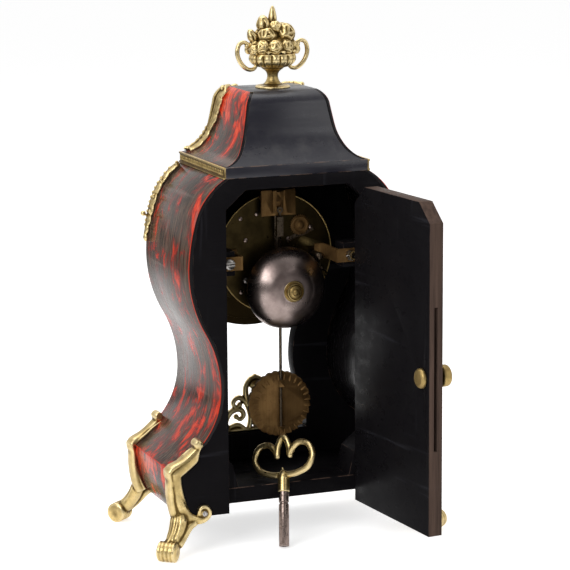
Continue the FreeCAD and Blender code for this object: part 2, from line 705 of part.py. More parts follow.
def case_blocks():
    """Wood blocks inside: two that the movement straps screw to, two in the bottom corners."""
    blocks = []
    inner = case_prism(BOARD_FRONT, BOARD_BACK, -SKIN)
    block = box(STRAP_SCREW_X - 4.5, BELLY_POINT[0], LUG_Y - STRAP - 14.0, LUG_Y - STRAP,
                DIAL_HEIGHT - 8.0, DIAL_HEIGHT + 8.0)
    hole = rod_y(STRAP_SCREW_R + RUNNING, STRAP_SCREW_X, DIAL_HEIGHT, LUG_Y - 12.5, LUG_Y)
    block = block.common(inner).cut(hole)
    x = DOORWAY_HALF + 6.0
    y = BOARD_BACK - WEDGE_DEPTH
    z = FLOOR_BOARD_TOP
    corners = [(x, z), (x - 16.0, z), (x - 12.0, z + 16.0), (x, z + 26.0), (x, z)]
    face = Part.Face(Part.makePolygon([V(cx, y, cz) for cx, cz in corners]))
    wedge = face.extrude(V(0, WEDGE_DEPTH, 0))
    for right in (block, wedge):
        blocks += [right, mirror_x(right)]
    return blocks


def window_mount():
    """Pierced scroll standing on the sill of the pendulum window."""
    z = WINDOW_SILL
    y = (CASE_FRONT + BOARD_FRONT) / 2
    place = lambda p: V(p[0], y, p[1])
    pieces = [box(-22.0, 22.0, y - 1.2, y + 1.2, z, z + 2.4)]
    outer = chain((20.0, z + 2.0), 20.0, [(18.5, z + 12.0), (9.0, z + 15.5), (10.0, z + 8.5), (13.5, z + 10.0)])
    curl = [(5.0, z + 18.0), (13.0, z + 24.0), (15.0, z + 18.5), (11.0, z + 19.0)]
    inner = chain((4.0, z + 2.0), -20.0, curl)
    crest = chain((3.4, z + 14.0), 40.0, [(6.0, z + 30.0), (0.0, z + 38.0)])
    for arcs, heading in ((outer, 20.0), (inner, -20.0), (crest, 40.0)):
        bar = swept(arcs, 1.5, place, heading_vector(heading))
        pieces += [bar, mirror_x(bar)]
    pieces.append(rod((1.8), (0, y, z), (0, y, z + 37.0)))
    pieces.append(box(-6.0, 6.0, y - 1.0, y + 1.0, z + 12.0, z + 16.0))
    return fuse(pieces)


def turned_open(shape):
    """A piece of the back door, drawn shut, in its open place."""
    copy = shape.copy()
    copy.rotate(V(HINGE_X, HINGE_Y, 0), V(0, 0, 1), DOOR_OPEN)
    return copy


def back_door():
    panel = doorway(-DOOR_GAP, CASE_LOW).extrude(V(0, -BOARD, 0))
    slot = box(DOOR_HALF - LATCH_SLOT_DEPTH, DOOR_HALF, DOOR_MIDDLE_Y - LATCH_SLOT_WIDTH / 2,
               DOOR_MIDDLE_Y + LATCH_SLOT_WIDTH / 2, LATCH_HEIGHT - LATCH_SLOT / 2,
               LATCH_HEIGHT + LATCH_SLOT / 2)
    bore = rod_y(SPINDLE_R + RUNNING, LATCH_X, LATCH_HEIGHT, BOARD_BACK, CASE_BACK)
    return turned_open(panel.cut([slot, bore] + hinge_grooves() + door_leaf_seats()))


def case_hinges():
    """Leaf, two outer knuckles and pin of each hinge, on the case."""
    hinges = []
    third = HINGE_LENGTH / 3
    for z, leaf in zip(HINGE_HEIGHTS, case_leaf_seats()):
        low = z - HINGE_LENGTH / 2
        high = z + HINGE_LENGTH / 2
        plate = leaf.cut(hinge_bar(KNUCKLE_SINK, low + third - 0.1, high - third + 0.1))
        ends = [hinge_bar(KNUCKLE_R, low, low + third - 0.1), hinge_bar(KNUCKLE_R, high - third + 0.1, high)]
        hinges.append(fuse([plate, hinge_bar(HINGE_PIN_R, low, high)] + ends))
    return hinges


def door_hinges():
    """Leaf and middle knuckle of each hinge, on the door."""
    hinges = []
    third = HINGE_LENGTH / 3
    for z, leaf in zip(HINGE_HEIGHTS, door_leaf_seats()):
        low = z - HINGE_LENGTH / 2
        high = z + HINGE_LENGTH / 2
        spans = ((low, low + third + 0.1), (high - third - 0.1, high))
        ends = [hinge_bar(KNUCKLE_SINK, z0, z1) for z0, z1 in spans]
        middle = hinge_bar(KNUCKLE_R, low + third + 0.1, high - third - 0.1)
        bore = hinge_bar(HINGE_PIN_R + RUNNING, low, high)
        hinges.append(turned_open(fuse([leaf.cut(ends), middle]).cut(bore)))
    return hinges


def latch_spindle():
    """Knob outside, spindle through the door and domed cap inside."""
    spindle = rod_y(SPINDLE_R, LATCH_X, LATCH_HEIGHT, BOARD_BACK - 0.2, CASE_BACK + 0.2)
    neck = rod_y(KNOB_R / 2, LATCH_X, LATCH_HEIGHT, CASE_BACK + 0.2, CASE_BACK + KNOB_DEPTH / 2)
    knob = rod_y(KNOB_R, LATCH_X, LATCH_HEIGHT, CASE_BACK + KNOB_DEPTH / 3, CASE_BACK + KNOB_DEPTH)
    knob = knob.makeFillet(KNOB_DEPTH / 5, knob.Edges)
    cap = rod_y(CAP_R, LATCH_X, LATCH_HEIGHT, BOARD_BACK - 0.2 - CAP_DEPTH, BOARD_BACK - 0.2)
    inner_edge = [e for e in cap.Edges if e.BoundBox.YMax < BOARD_BACK - CAP_DEPTH]
    cap = cap.makeFillet(CAP_DEPTH * 0.8, inner_edge)
    whole = fuse([spindle, neck, knob, cap])
    return turned_open(whole)


def tongue_shape():
    y0 = DOOR_MIDDLE_Y - TONGUE / 2
    half = TONGUE_HEIGHT / 2
    low = LATCH_HEIGHT - TONGUE_TAIL
    return box(LATCH_X - half, LATCH_X + half, y0, y0 + TONGUE, low, LATCH_HEIGHT + TONGUE_REACH)


def latch_tongue():
    hole = rod_y(SPINDLE_R + RUNNING, LATCH_X, LATCH_HEIGHT, BOARD_BACK, CASE_BACK)
    return turned_open(tongue_shape().cut(hole))


def gear(teeth, module, x, z, y0, y1, phase, bore):
    """Toothed wheel with slim trapezoid teeth, one tooth centred on the phase angle."""
    tip = module * teeth / 2 + 0.7 * module
    root = module * teeth / 2 - 1.15 * module
    pitch = 2 * math.pi / teeth
    points = []
    for i in range(teeth):
        centre = phase + i * pitch
        for radius, share in ((root, -0.26), (tip, -0.11), (tip, 0.11), (root, 0.26)):
            a = centre + share * pitch
            points.append(V(x + radius * math.cos(a), y0, z + radius * math.sin(a)))
    wheel = Part.Face(Part.makePolygon(points + points[:1])).extrude(V(0, y1 - y0, 0))
    if bore:
        wheel = wheel.cut(rod_y(bore, x, z, y0, y1))
    return wheel


def hand(length, y, pipe_r, bore, tail):
    """Pierced hand pointing up, on its boss."""
    z = DIAL_HEIGHT
    points = [(-1.2, 0), (-1.0, length * 0.5), (-2.6, length * 0.66), (-0.9, length * 0.76), (0, length)]
    points += [(-px, pz) for px, pz in reversed(points[:-1])] + [(1.4, -tail), (-1.4, -tail)]
    outline = [V(px, y, z + pz) for px, pz in points]
    blade = Part.Face(Part.makePolygon(outline + outline[:1])).extrude(V(0, -HAND, 0))
    boss = rod_y(pipe_r + 1.6, 0, z, y - HAND, y)
    return fuse([blade, boss]).cut(rod_y(bore, 0, z, y - HAND, y))


def minute_hand():
    """Minute hand with its pipe and the cannon pinion on the centre arbor."""
    module = 2 * MOTION_CENTRES / (CANNON_TEETH + MINUTE_TEETH)
    back = PLATE_FRONT - 0.4
    pipe = rod_y(CANNON_R, 0, DIAL_HEIGHT, MINUTE_Y - HAND, back)
    pinion = gear(CANNON_TEETH, module, 0, DIAL_HEIGHT, back - 2.0, back, math.pi / 2, 0)
    whole = fuse([pipe, pinion, hand(MINUTE_LENGTH, MINUTE_Y, CANNON_R, CANNON_R - 0.4, 8.0)])
    return whole.cut(rod_y(ARBOR_R + RUNNING, 0, DIAL_HEIGHT, BEZEL_FRONT, back))


def hour_hand():
    """Hour hand with its pipe and the hour wheel, running on the minute pipe."""
    module = 2 * MOTION_CENTRES / (PINION_TEETH + HOUR_TEETH)
    back = PLATE_FRONT - 3.4
    pipe = rod_y(HOUR_PIPE_R, 0, DIAL_HEIGHT, HOUR_Y - HAND, back)
    wheel = gear(HOUR_TEETH, module, 0, DIAL_HEIGHT, back - 1.2, back, math.pi / 2, 0)
    whole = fuse([pipe, wheel, hand(HOUR_LENGTH, HOUR_Y, HOUR_PIPE_R, HOUR_PIPE_R - 0.4, 4.0)])
    return whole.cut(rod_y(CANNON_R + RUNNING, 0, DIAL_HEIGHT, BEZEL_FRONT, back))


def minute_wheel():
    """Wheel and pinion that gear the minute pipe down to the hour wheel, above the centre."""
    z = DIAL_HEIGHT + MOTION_CENTRES
    back = PLATE_FRONT - 0.4
    wheel_module = 2 * MOTION_CENTRES / (CANNON_TEETH + MINUTE_TEETH)
    pinion_module = 2 * MOTION_CENTRES / (PINION_TEETH + HOUR_TEETH)
    down = -math.pi / 2
    wheel = gear(MINUTE_TEETH, wheel_module, 0, z, back - 1.4, back, down + math.pi / MINUTE_TEETH, 0)
    pinion = gear(PINION_TEETH, pinion_module, 0, z, back - 4.6, back - 1.4, down + math.pi / PINION_TEETH, 0)
    return fuse([wheel, pinion]).cut(rod_y(ARBOR_R + RUNNING, 0, z, back - 5.0, back))


def dial_plate():
    plate = rod_y(DIAL_R, 0, DIAL_HEIGHT, DIAL_BACK, DIAL_FRONT)
    holes = [rod_y(HOUR_PIPE_R + 0.4, 0, DIAL_HEIGHT, DIAL_BACK, DIAL_FRONT)]
    holes += [rod_y(WINDING_HOLE_R, x, WINDING_Z, DIAL_BACK, DIAL_FRONT) for x in (WINDING_X, -WINDING_X)]
    return plate.cut(holes)


def numeral_plaques():
    plaques = []
    for hour in range(12):
        a = math.radians(30 * hour)
        x = PLAQUE_RING_R * math.sin(a)
        z = DIAL_HEIGHT + PLAQUE_RING_R * math.cos(a)
        plaques.append(rod_y(PLAQUE_R, x, z, DIAL_FRONT, PLAQUE_FRONT))
    return plaques


def dial_ring():
    """Fixed ring round the dial, with the lug and pin that carry the bezel."""
    ring = rod_y(DIAL_RING_R, 0, DIAL_HEIGHT, CASE_FRONT, DIAL_RING_FRONT)
    ring = ring.cut(rod_y(DIAL_R + RUNNING, 0, DIAL_HEIGHT, CASE_FRONT, DIAL_RING_FRONT))
    x, y = BEZEL_AXIS
    half = BEZEL_KNUCKLE_LENGTH / 2
    third = BEZEL_KNUCKLE_LENGTH / 6
    lugs = [rod(BEZEL_PIN_R, (x, y, DIAL_HEIGHT - half), (x, y, DIAL_HEIGHT + half))]
    for z0, z1 in ((-half, -third - 0.1), (third + 0.1, half)):
        lugs.append(rod(BEZEL_KNUCKLE_R, (x, y, DIAL_HEIGHT + z0), (x, y, DIAL_HEIGHT + z1)))
        lugs.append(box(DIAL_RING_R - 2.0, x, CASE_FRONT - 1.2, CASE_FRONT, DIAL_HEIGHT + z0, DIAL_HEIGHT + z1))
    return fuse([ring] + lugs)


def bezel():
    x, y = BEZEL_AXIS
    half = BEZEL_KNUCKLE_LENGTH / 2
    third = BEZEL_KNUCKLE_LENGTH / 6
    ring = rod_y(DIAL_RING_R, 0, DIAL_HEIGHT, BEZEL_BACK, BEZEL_FRONT)
    outer_edge = [e for e in ring.Edges if e.BoundBox.YMax < BEZEL_FRONT + 0.1]
    ring = ring.makeFillet(BEZEL_DEPTH * 0.6, outer_edge)
    knuckle_body = rod(BEZEL_KNUCKLE_R, (x, y, DIAL_HEIGHT - third), (x, y, DIAL_HEIGHT + third))
    arm = box(DIAL_RING_R - 2.0, x, BEZEL_BACK - 1.2, BEZEL_BACK, DIAL_HEIGHT - third, DIAL_HEIGHT + third)
    clear = [
        rod(BEZEL_KNUCKLE_R + 0.3, (x, y, DIAL_HEIGHT + z0), (x, y, DIAL_HEIGHT + z1))
        for z0, z1 in ((-half - 0.3, -third), (third, half + 0.3))
    ]
    whole = fuse([ring, knuckle_body, arm])
    eye = rod_y(BEZEL_INNER_R, 0, DIAL_HEIGHT, BEZEL_BACK, BEZEL_FRONT)
    rabbet = rod_y(GLASS_R + RUNNING, 0, DIAL_HEIGHT, BEZEL_BACK, BEZEL_BACK - 4.3)
    pin = rod(BEZEL_PIN_R + RUNNING, (x, y, DIAL_HEIGHT - half), (x, y, DIAL_HEIGHT + half))
    return whole.cut([eye, rabbet, pin] + clear)


def bezel_glass():
    """Domed glass: a slice of a thin ball."""
    rim_y = BEZEL_BACK - 1.8
    radius = (GLASS_R ** 2 + GLASS_RISE ** 2) / (2 * GLASS_RISE)
    centre = V(0, rim_y - GLASS_RISE + radius, DIAL_HEIGHT)
    dome = Part.makeSphere(radius + GLASS, centre).cut(Part.makeSphere(radius, centre))
    return dome.common(rod_y(GLASS_R, 0, DIAL_HEIGHT, rim_y - 2 * GLASS_RISE, rim_y))


# Arbors of the two trains: place across and above the middle of the dial
ARBORS = {
    "going intermediate": (9.4, -7.6), "third": (5.5, 11.0), "escape": (0.0, 19.0),
    "pin": (-9.4, -7.6), "locking": (-13.6, 3.9), "fly": (-18.0, 11.4),
}


def arbor_place(name):
    x, rise = ARBORS[name]
    return x, DIAL_HEIGHT + rise


def movement_plate(y0, y1, anchor_hole_r):
    """Round plate with the holes for the arbors."""
    plate = rod_y(PLATE_R, 0, DIAL_HEIGHT, y0, y1)
    holes = [rod_y(PIVOT_R + RUNNING, *arbor_place(name), y0, y1) for name in ARBORS]
    holes.append(rod_y(anchor_hole_r, 0, SUSPENSION_HEIGHT, y0, y1))
    holes.append(rod_y(ARBOR_R + RUNNING, 0, DIAL_HEIGHT, y0, y1))
    holes += [rod_y(BARREL_ARBOR_R + RUNNING, x, WINDING_Z, y0, y1) for x in (WINDING_X, -WINDING_X)]
    return plate.cut(holes)


def ring_points(radius, angles):
    turns = [math.radians(a) for a in angles]
    return [(radius * math.cos(a), DIAL_HEIGHT + radius * math.sin(a)) for a in turns]


def pillars():
    """Pillars between the plates, feet of the dial, and the studs of the minute wheel and the hammer."""
    solids = []
    for x, z in ring_points(PILLAR_RING_R, PILLAR_ANGLES):
        solids.append(rod_y(PILLAR_R, x, z, PLATE_FRONT_IN, PLATE_BACK_IN))
    for x, z in ring_points(DIAL_FOOT_RING_R, DIAL_FOOT_ANGLES):
        solids.append(rod_y(DIAL_FOOT_R, x, z, DIAL_BACK, PLATE_FRONT))
    solids.append(rod_y(ARBOR_R, 0, DIAL_HEIGHT + MOTION_CENTRES, PLATE_FRONT - 5.2, PLATE_FRONT))
    return solids + [hammer_stud()]


BARREL_BACK = PLATE_BACK_IN - 12.5
BARREL_FRONT = PLATE_FRONT_IN + 2.0


def barrel(sign):
    """Spring barrel with its toothed rim."""
    x = sign * WINDING_X
    drum = rod_y(BARREL_R, x, WINDING_Z, BARREL_FRONT, BARREL_BACK)
    rim = gear(60, 2 * BARREL_RIM_R / 60 - 0.01, x, WINDING_Z, BARREL_BACK - 1.4, BARREL_BACK, 0.0, 0)
    return fuse([drum, rim]).cut(rod_y(BARREL_ARBOR_R + RUNNING, x, WINDING_Z, BARREL_FRONT, BARREL_BACK))


def winding_arbor(sign):
    """Arbor with its ratchet wheel and the square that the key turns."""
    x = sign * WINDING_X
    shaft = rod_y(BARREL_ARBOR_R, x, WINDING_Z, PLATE_FRONT - 6.0, PLATE_BACK)
    half = SQUARE / 2
    square = box(x - half, x + half, DIAL_FRONT - 0.3, PLATE_FRONT - 6.0, WINDING_Z - half, WINDING_Z + half)
    y = PLATE_FRONT - 2.6
    points = []
    for i in range(RATCHET_TEETH):
        for turn, radius in ((i, RATCHET_R), (i + 0.9, RATCHET_R - RATCHET_TOOTH)):
            a = 2 * math.pi * turn / RATCHET_TEETH
            points.append(V(x + radius * math.cos(a), y, WINDING_Z + radius * math.sin(a)))
    ratchet = Part.Face(Part.makePolygon(points + points[:1])).extrude(V(0, 2.2, 0))
    return fuse([shaft, square, ratchet])


def clicks():
    """Clicks that ride the ratchet wheels, on the front plate."""
    solids = []
    for sign in (1, -1):
        x = sign * WINDING_X
        z = WINDING_Z - RATCHET_R - 2.4
        base = rod_y(1.8, x, z, PLATE_FRONT - 2.4, PLATE_FRONT)
        finger = box(x - 5.0, x + 1.0, PLATE_FRONT - 2.4, PLATE_FRONT, z - 1.6, z + 0.2)
        solids.append(fuse([base, finger]))
    return solids


def wheel_on_arbor(name, wheel_r, teeth, wheel_y, pinion_r, pinion_y):
    x, z = arbor_place(name)
    arbor = rod_y(PIVOT_R, x, z, PLATE_FRONT, PLATE_BACK)
    wheel = gear(teeth, 2 * wheel_r / (teeth + 1.4), x, z, wheel_y, wheel_y + 1.0, 0.0, 0)
    pinion = rod_y(pinion_r, x, z, pinion_y, pinion_y + 2.0)
    return fuse([arbor, wheel, pinion])


def going_train():
    """Intermediate, centre, third and escape wheels on their arbors."""
    centre_arbor = rod_y(ARBOR_R, 0, DIAL_HEIGHT, MINUTE_Y - HAND - 1.0, PLATE_BACK)
    centre_wheel = gear(64, 2 * 10.6 / 65.4, 0, DIAL_HEIGHT, -6.6, -5.6, 0.0, 0)
    return [
        wheel_on_arbor("going intermediate", 10.5, 60, -10.0, 1.9, BARREL_BACK - 2.0),
        fuse([centre_arbor, centre_wheel]),
        wheel_on_arbor("third", 8.3, 56, -16.0, 1.3, -7.2),
        wheel_on_arbor("escape", 7.0, 30, -4.0, 1.1, -16.6),
    ]


def strike_train():
    """Pin wheel, locking wheel and fly on their arbors."""
    x, z = arbor_place("fly")
    fly = fuse([
        rod_y(PIVOT_R, x, z, PLATE_FRONT, PLATE_BACK),
        rod_y(1.1, x, z, -23.0, -21.0),
        box(x - 7.0, x + 7.0, -19.0, -12.0, z - 1.0, z + 1.0),
    ])
    return [
        wheel_on_arbor("pin", 10.5, 60, -8.4, 1.9, BARREL_BACK - 2.0),
        wheel_on_arbor("locking", 7.3, 48, -22.6, 1.3, -9.0),
        fly,
    ]


def count_wheel():
    """Notched wheel on the back plate that counts the strokes, with its boss."""
    x = COUNT_WHEEL[0]
    z = DIAL_HEIGHT + COUNT_WHEEL[1]
    wheel = gear(30, 0.44, x, z, PLATE_BACK + 0.3, PLATE_BACK + 1.3, 0.0, 0)
    boss = rod_y(5.6, x, z, PLATE_BACK + 1.3, PLATE_BACK + 2.6)
    hollow = rod_y(4.6, x, z, PLATE_BACK + 1.9, PLATE_BACK + 2.6)
    stud = rod_y(2.4, x, z, PLATE_BACK, PLATE_BACK + 3.4)
    return fuse([wheel, boss.cut(hollow), stud])


def straps():
    """Brackets from the back plate to the screws at the sides of the doorway."""
    solids = []
    z0 = DIAL_HEIGHT - STRAP_HEIGHT / 2
    z1 = DIAL_HEIGHT + STRAP_HEIGHT / 2
    for sign in (1, -1):
        foot_plate = box(STRAP_X - 7.0, STRAP_X, PLATE_BACK, PLATE_BACK + STRAP, z0, z1)
        arm = box(STRAP_X - STRAP, STRAP_X, PLATE_BACK, LUG_Y, z0, z1)
        lug = box(STRAP_X - STRAP, STRAP_SCREW_X + 4.0, LUG_Y - STRAP, LUG_Y, z0, z1)
        hole = rod_y(STRAP_SCREW_R + RUNNING, STRAP_SCREW_X, DIAL_HEIGHT, LUG_Y - STRAP, LUG_Y)
        right = fuse([foot_plate, arm, lug]).cut(hole)
        solids.append(right if sign > 0 else mirror_x(right))
    return solids


def suspension_cock():
    """Bridge on the back plate, with the bearing of the pallet arbor, two cheeks and the pendulum pin."""
    z = SUSPENSION_HEIGHT
    front = PLATE_BACK + COCK_STAND
    back = front + COCK
    bridge = box(-12.0, 12.0, front, back, z - 4.0, z + 13.0)
    feet = [rod_y(2.0, x, z + 8.0, PLATE_BACK, front) for x in (9.5, -9.5)]
    cheeks = [box(x0, x1, back, PENDULUM_Y + 1.4, z - 2.0, z + 13.0) for x0, x1 in ((-5.0, -2.5), (2.5, 5.0))]
    cap = box(-2.5, 2.5, back, PENDULUM_Y + 1.0, z + 6.0, z + 12.0)
    pin = rod_y(SUSPENSION_PIN_R, 0, z, back, PENDULUM_Y + 1.6)
    bearing = rod_y(PIVOT_R + RUNNING, 0, z, front, front + BEARING_DEPTH)
    return fuse([bridge, cap, pin] + feet + cheeks).cut(bearing)


def anchor():
    """Pallets on their arbor, with the crutch that guides the pendulum rod."""
    z = SUSPENSION_HEIGHT
    arbor = rod_y(PIVOT_R, 0, z, PLATE_FRONT, PLATE_BACK + COCK_STAND + BEARING_DEPTH - 0.1)
    body = box(-6.6, 6.6, -4.0, -2.8, z - 2.6, z + 1.6)
    pallets = [box(x0, x1, -4.0, -2.8, z - 5.1, z - 2.6) for x0, x1 in ((-6.6, -5.4), (5.4, 6.6))]
    collar = rod_y(2.0, 0, z, -5.2, -2.0)
    crutch_y = PLATE_BACK + 1.2
    crutch = box(-1.3, 1.3, crutch_y, crutch_y + 1.2, CRUTCH_LOW, z + 2.0)
    prong_y = PENDULUM_Y + ROD_R + 1.0
    inner = ROD_R + CRUTCH_GAP
    outer = inner + 1.3
    prongs = [
        box(x0, x1, crutch_y + 1.2, prong_y, CRUTCH_LOW, CRUTCH_LOW + 2.0)
        for x0, x1 in ((-outer, -inner), (inner, outer))
    ]
    bar = box(-outer, outer, crutch_y, crutch_y + 1.2, CRUTCH_LOW, CRUTCH_LOW + 2.0)
    return fuse([arbor, body, collar, crutch, bar] + pallets + prongs)


def pendulum_rod():
    """Suspension eye, block and rod with its rating nut."""
    z = SUSPENSION_HEIGHT
    eye = rod_y(SUSPENSION_EYE_R, 0, z, PENDULUM_Y - 1.2, PENDULUM_Y + 1.2)
    strip = box(-0.5, 0.5, PENDULUM_Y - 1.2, PENDULUM_Y + 1.2, BLOCK_TOP - 0.5, z)
    block = box(-2.2, 2.2, PENDULUM_Y - 1.4, PENDULUM_Y + 1.4, BLOCK_TOP - BLOCK, BLOCK_TOP)
    bar = rod(ROD_R, (0, PENDULUM_Y, ROD_LOW - 4.0), (0, PENDULUM_Y, BLOCK_TOP - BLOCK + 0.5))
    nut = rod(RATING_NUT_R, (0, PENDULUM_Y, ROD_LOW - 3.0), (0, PENDULUM_Y, ROD_LOW))
    whole = fuse([eye, strip, block, bar, nut])
    return whole.cut(rod_y(SUSPENSION_PIN_R + RUNNING, 0, z, PENDULUM_Y - 3.0, PENDULUM_Y + 3.0))


def pendulum_bob():
    """Disc with a scalloped edge and two loops that hold it to the rod."""
    y1 = PENDULUM_Y - RATING_NUT_R - 0.4
    y0 = y1 - BOB
    step = 2 * math.pi / BOB_LOBES
    arcs = []
    for i in range(BOB_LOBES):
        a, b = i * step, (i + 1) * step
        middle = (a + b) / 2
        ends = [(BOB_R * math.cos(t), BOB_HEIGHT + BOB_R * math.sin(t)) for t in (a, b)]
        peak = BOB_R + BOB_LOBE_RISE
        arcs.append((ends[0], (peak * math.cos(middle), BOB_HEIGHT + peak * math.sin(middle)), ends[1]))
    disc = Part.Face(Part.Wire(arc_edges(arcs, lambda p: V(p[0], y0, p[1])))).extrude(V(0, BOB, 0))
    loops = [box(-2.2, 2.2, y1, PENDULUM_Y + 1.8, z0, z0 + 5.0) for z0 in (ROD_LOW, BOB_HEIGHT + 12.0)]
    bore = rod(ROD_R + RUNNING, (0, PENDULUM_Y, 0), (0, PENDULUM_Y, TOP))
    return fuse([disc] + loops).cut(bore)


def bell_curve(inset):
    """Side line of the bell from its rim to its crown, moved inwards by inset."""
    rim = BELL_R - inset
    rise = BELL_RISE - inset
    points = [(rim, 0.0), (rim * 0.955, rise * 0.3), (rim * 0.62, rise * 0.86), (0.0, rise)]
    line = Part.BSplineCurve()
    places = [V(BELL_X + r, BELL_RIM_Y + h, BELL_HEIGHT) for r, h in points]
    line.interpolate(places, InitialTangent=V(-0.1, 1, 0), FinalTangent=V(-1, 0, 0))
    return line.toShape()


def bell():
    outer = bell_curve(0.0)
    inner = bell_curve(BELL_WALL)
    ends = [Part.makeLine(outer.valueAt(outer.LastParameter), inner.valueAt(inner.LastParameter))]
    ends.append(Part.makeLine(inner.valueAt(inner.FirstParameter), outer.valueAt(outer.FirstParameter)))
    section = Part.Face(Part.Wire(Part.__sortEdges__([outer, inner] + ends)))
    shell = section.revolve(V(BELL_X, 0, BELL_HEIGHT), V(0, 1, 0), 360)
    seat = rod_y(BELL_WASHER_R, BELL_X, BELL_HEIGHT, BELL_TOP_Y - BELL_WALL, BELL_SEAT_Y)
    hole = rod_y(BELL_POST_R + RUNNING, BELL_X, BELL_HEIGHT, BELL_RIM_Y, BELL_SEAT_Y)
    return fuse([shell, seat]).cut(hole)


def bell_stand():
    """Bent post from the back plate to the crown of the bell, with its washer and nut."""
    foot_x = BELL_FOOT[0]
    foot_z = DIAL_HEIGHT + BELL_FOOT[1]
    y = BELL_BEND_Y
    post = rod_y(BELL_POST_R, foot_x, foot_z, PLATE_BACK, y)
    arm = rod(BELL_POST_R, (foot_x, y, foot_z), (BELL_X, y, BELL_HEIGHT))
    washer_y = BELL_SEAT_Y + BELL_WASHER
    nut_y = washer_y + BELL_NUT
    top = rod_y(BELL_POST_R, BELL_X, BELL_HEIGHT, y, nut_y + BELL_THREAD)
    bends = [Part.makeSphere(BELL_POST_R, V(x, y, z)) for x, z in ((foot_x, foot_z), (BELL_X, BELL_HEIGHT))]
    under = BELL_TOP_Y - BELL_WALL - 0.2
    collar = rod_y(BELL_POST_R + 2.0, BELL_X, BELL_HEIGHT, under - 3.0, under)
    washer = rod_y(BELL_WASHER_R - 1.0, BELL_X, BELL_HEIGHT, BELL_SEAT_Y, washer_y)
    nut = rod_y(BELL_NUT_R, BELL_X, BELL_HEIGHT, washer_y, nut_y)
    return fuse([post, arm, top, collar, washer, nut] + bends)


def hammer_stud():
    x = HAMMER_PIVOT[0]
    z = DIAL_HEIGHT + HAMMER_PIVOT[1]
    end = PLATE_BACK + HAMMER_STUD
    return fuse([rod_y(HAMMER_STUD_R, x, z, PLATE_BACK, end), rod_y(HAMMER_STUD_R + 1.0, x, z, end - 1.0, end)])


def hammer():
    """Arm on its stud and the head that strikes the edge of the bell."""
    x = HAMMER_PIVOT[0]
    z = DIAL_HEIGHT + HAMMER_PIVOT[1]
    across = HAMMER_HEAD_X - x
    rise = HAMMER_HEAD_Z - z
    y0 = PLATE_BACK + 2.2
    y1 = y0 + 2.0
    eye = rod_y(HAMMER_STUD_R + 1.4, x, z, y0, y1)
    arm = box(-1.0, 1.0, y0, y1, 0, math.hypot(across, rise))
    arm.rotate(V(0, 0, 0), V(0, 1, 0), math.degrees(math.atan2(across, rise)))
    arm.translate(V(x, 0, z))
    head = rod_y(HAMMER_HEAD_R, HAMMER_HEAD_X, HAMMER_HEAD_Z, y0, BELL_RIM_Y + 4.0)
    return fuse([eye, arm, head]).cut(rod_y(HAMMER_STUD_R + RUNNING, x, z, y0, y1))


def key_bow():
    """Wire bow of the key: a wide loop each side and a pointed one between them."""
    z = KEY_SHANK_LENGTH + KEY_NECK_LENGTH
    top = z + KEY_BOW_HEIGHT - KEY_WIRE_R
    cusp = (KEY_CUSP[0], z + KEY_CUSP[1])
    place = lambda p: V(p[0], 0, p[1])
    outline = [(11.0, z + 1.2), (KEY_BOW_HALF, z + 11.0), (12.6, top - 1.2), cusp]
    bars = [swept(chain((1.5, z + 1.5), 110.0, outline), KEY_WIRE_R, place, heading_vector(110.0))]
    peak = chain((cusp[0], cusp[1] - 0.6), 8.0, [(0.0, KEY_LENGTH - KEY_WIRE_R)])
    bars.append(swept(peak, KEY_WIRE_R, place, heading_vector(8.0)))
    knot = KEY_WIRE_R + KEY_KNOT
    ends = [Part.makeSphere(knot, V(cusp[0], 0, cusp[1] - 0.6))]
    tip = Part.makeSphere(knot, V(0, 0, KEY_LENGTH - knot))
    half = fuse(bars + ends)
    return fuse([half, mirror_x(half), tip])


def winding_key():
    """Key with its bow, standing on its socket and leaning on the bottom board."""
    shank = rod(KEY_SHANK_R, (0, 0, 0), (0, 0, KEY_SHANK_LENGTH))
    half = (SQUARE + SQUARE_GAP) / 2
    socket = box(-half, half, -half, half, 0, KEY_SOCKET_DEPTH)
    groove = Part.makeTorus(KEY_SHANK_R + 0.3, 0.9, V(0, 0, KEY_SHANK_LENGTH - KEY_GROOVE_DROP))
    neck_top = KEY_SHANK_LENGTH + KEY_NECK_LENGTH
    neck = rod(KEY_NECK_R, (0, 0, KEY_SHANK_LENGTH), (0, 0, neck_top))
    cap = Part.makeSphere(KEY_NECK_R, V(0, 0, neck_top))
    key = fuse([shank.cut([socket, groove]), neck, cap, key_bow()])
    key.rotate(V(0, 0, 0), V(0, 0, 1), KEY_TWIST)
    key.rotate(V(0, 0, 0), V(1, 0, 0), KEY_LEAN)
    key.rotate(V(0, 0, 0), V(0, 0, 1), KEY_TURN)
    key.translate(V(KEY_X, KEY_FOOT_Y, KEY_SHANK_R * math.sin(math.radians(KEY_LEAN))))
    return key


FOOT = foot()

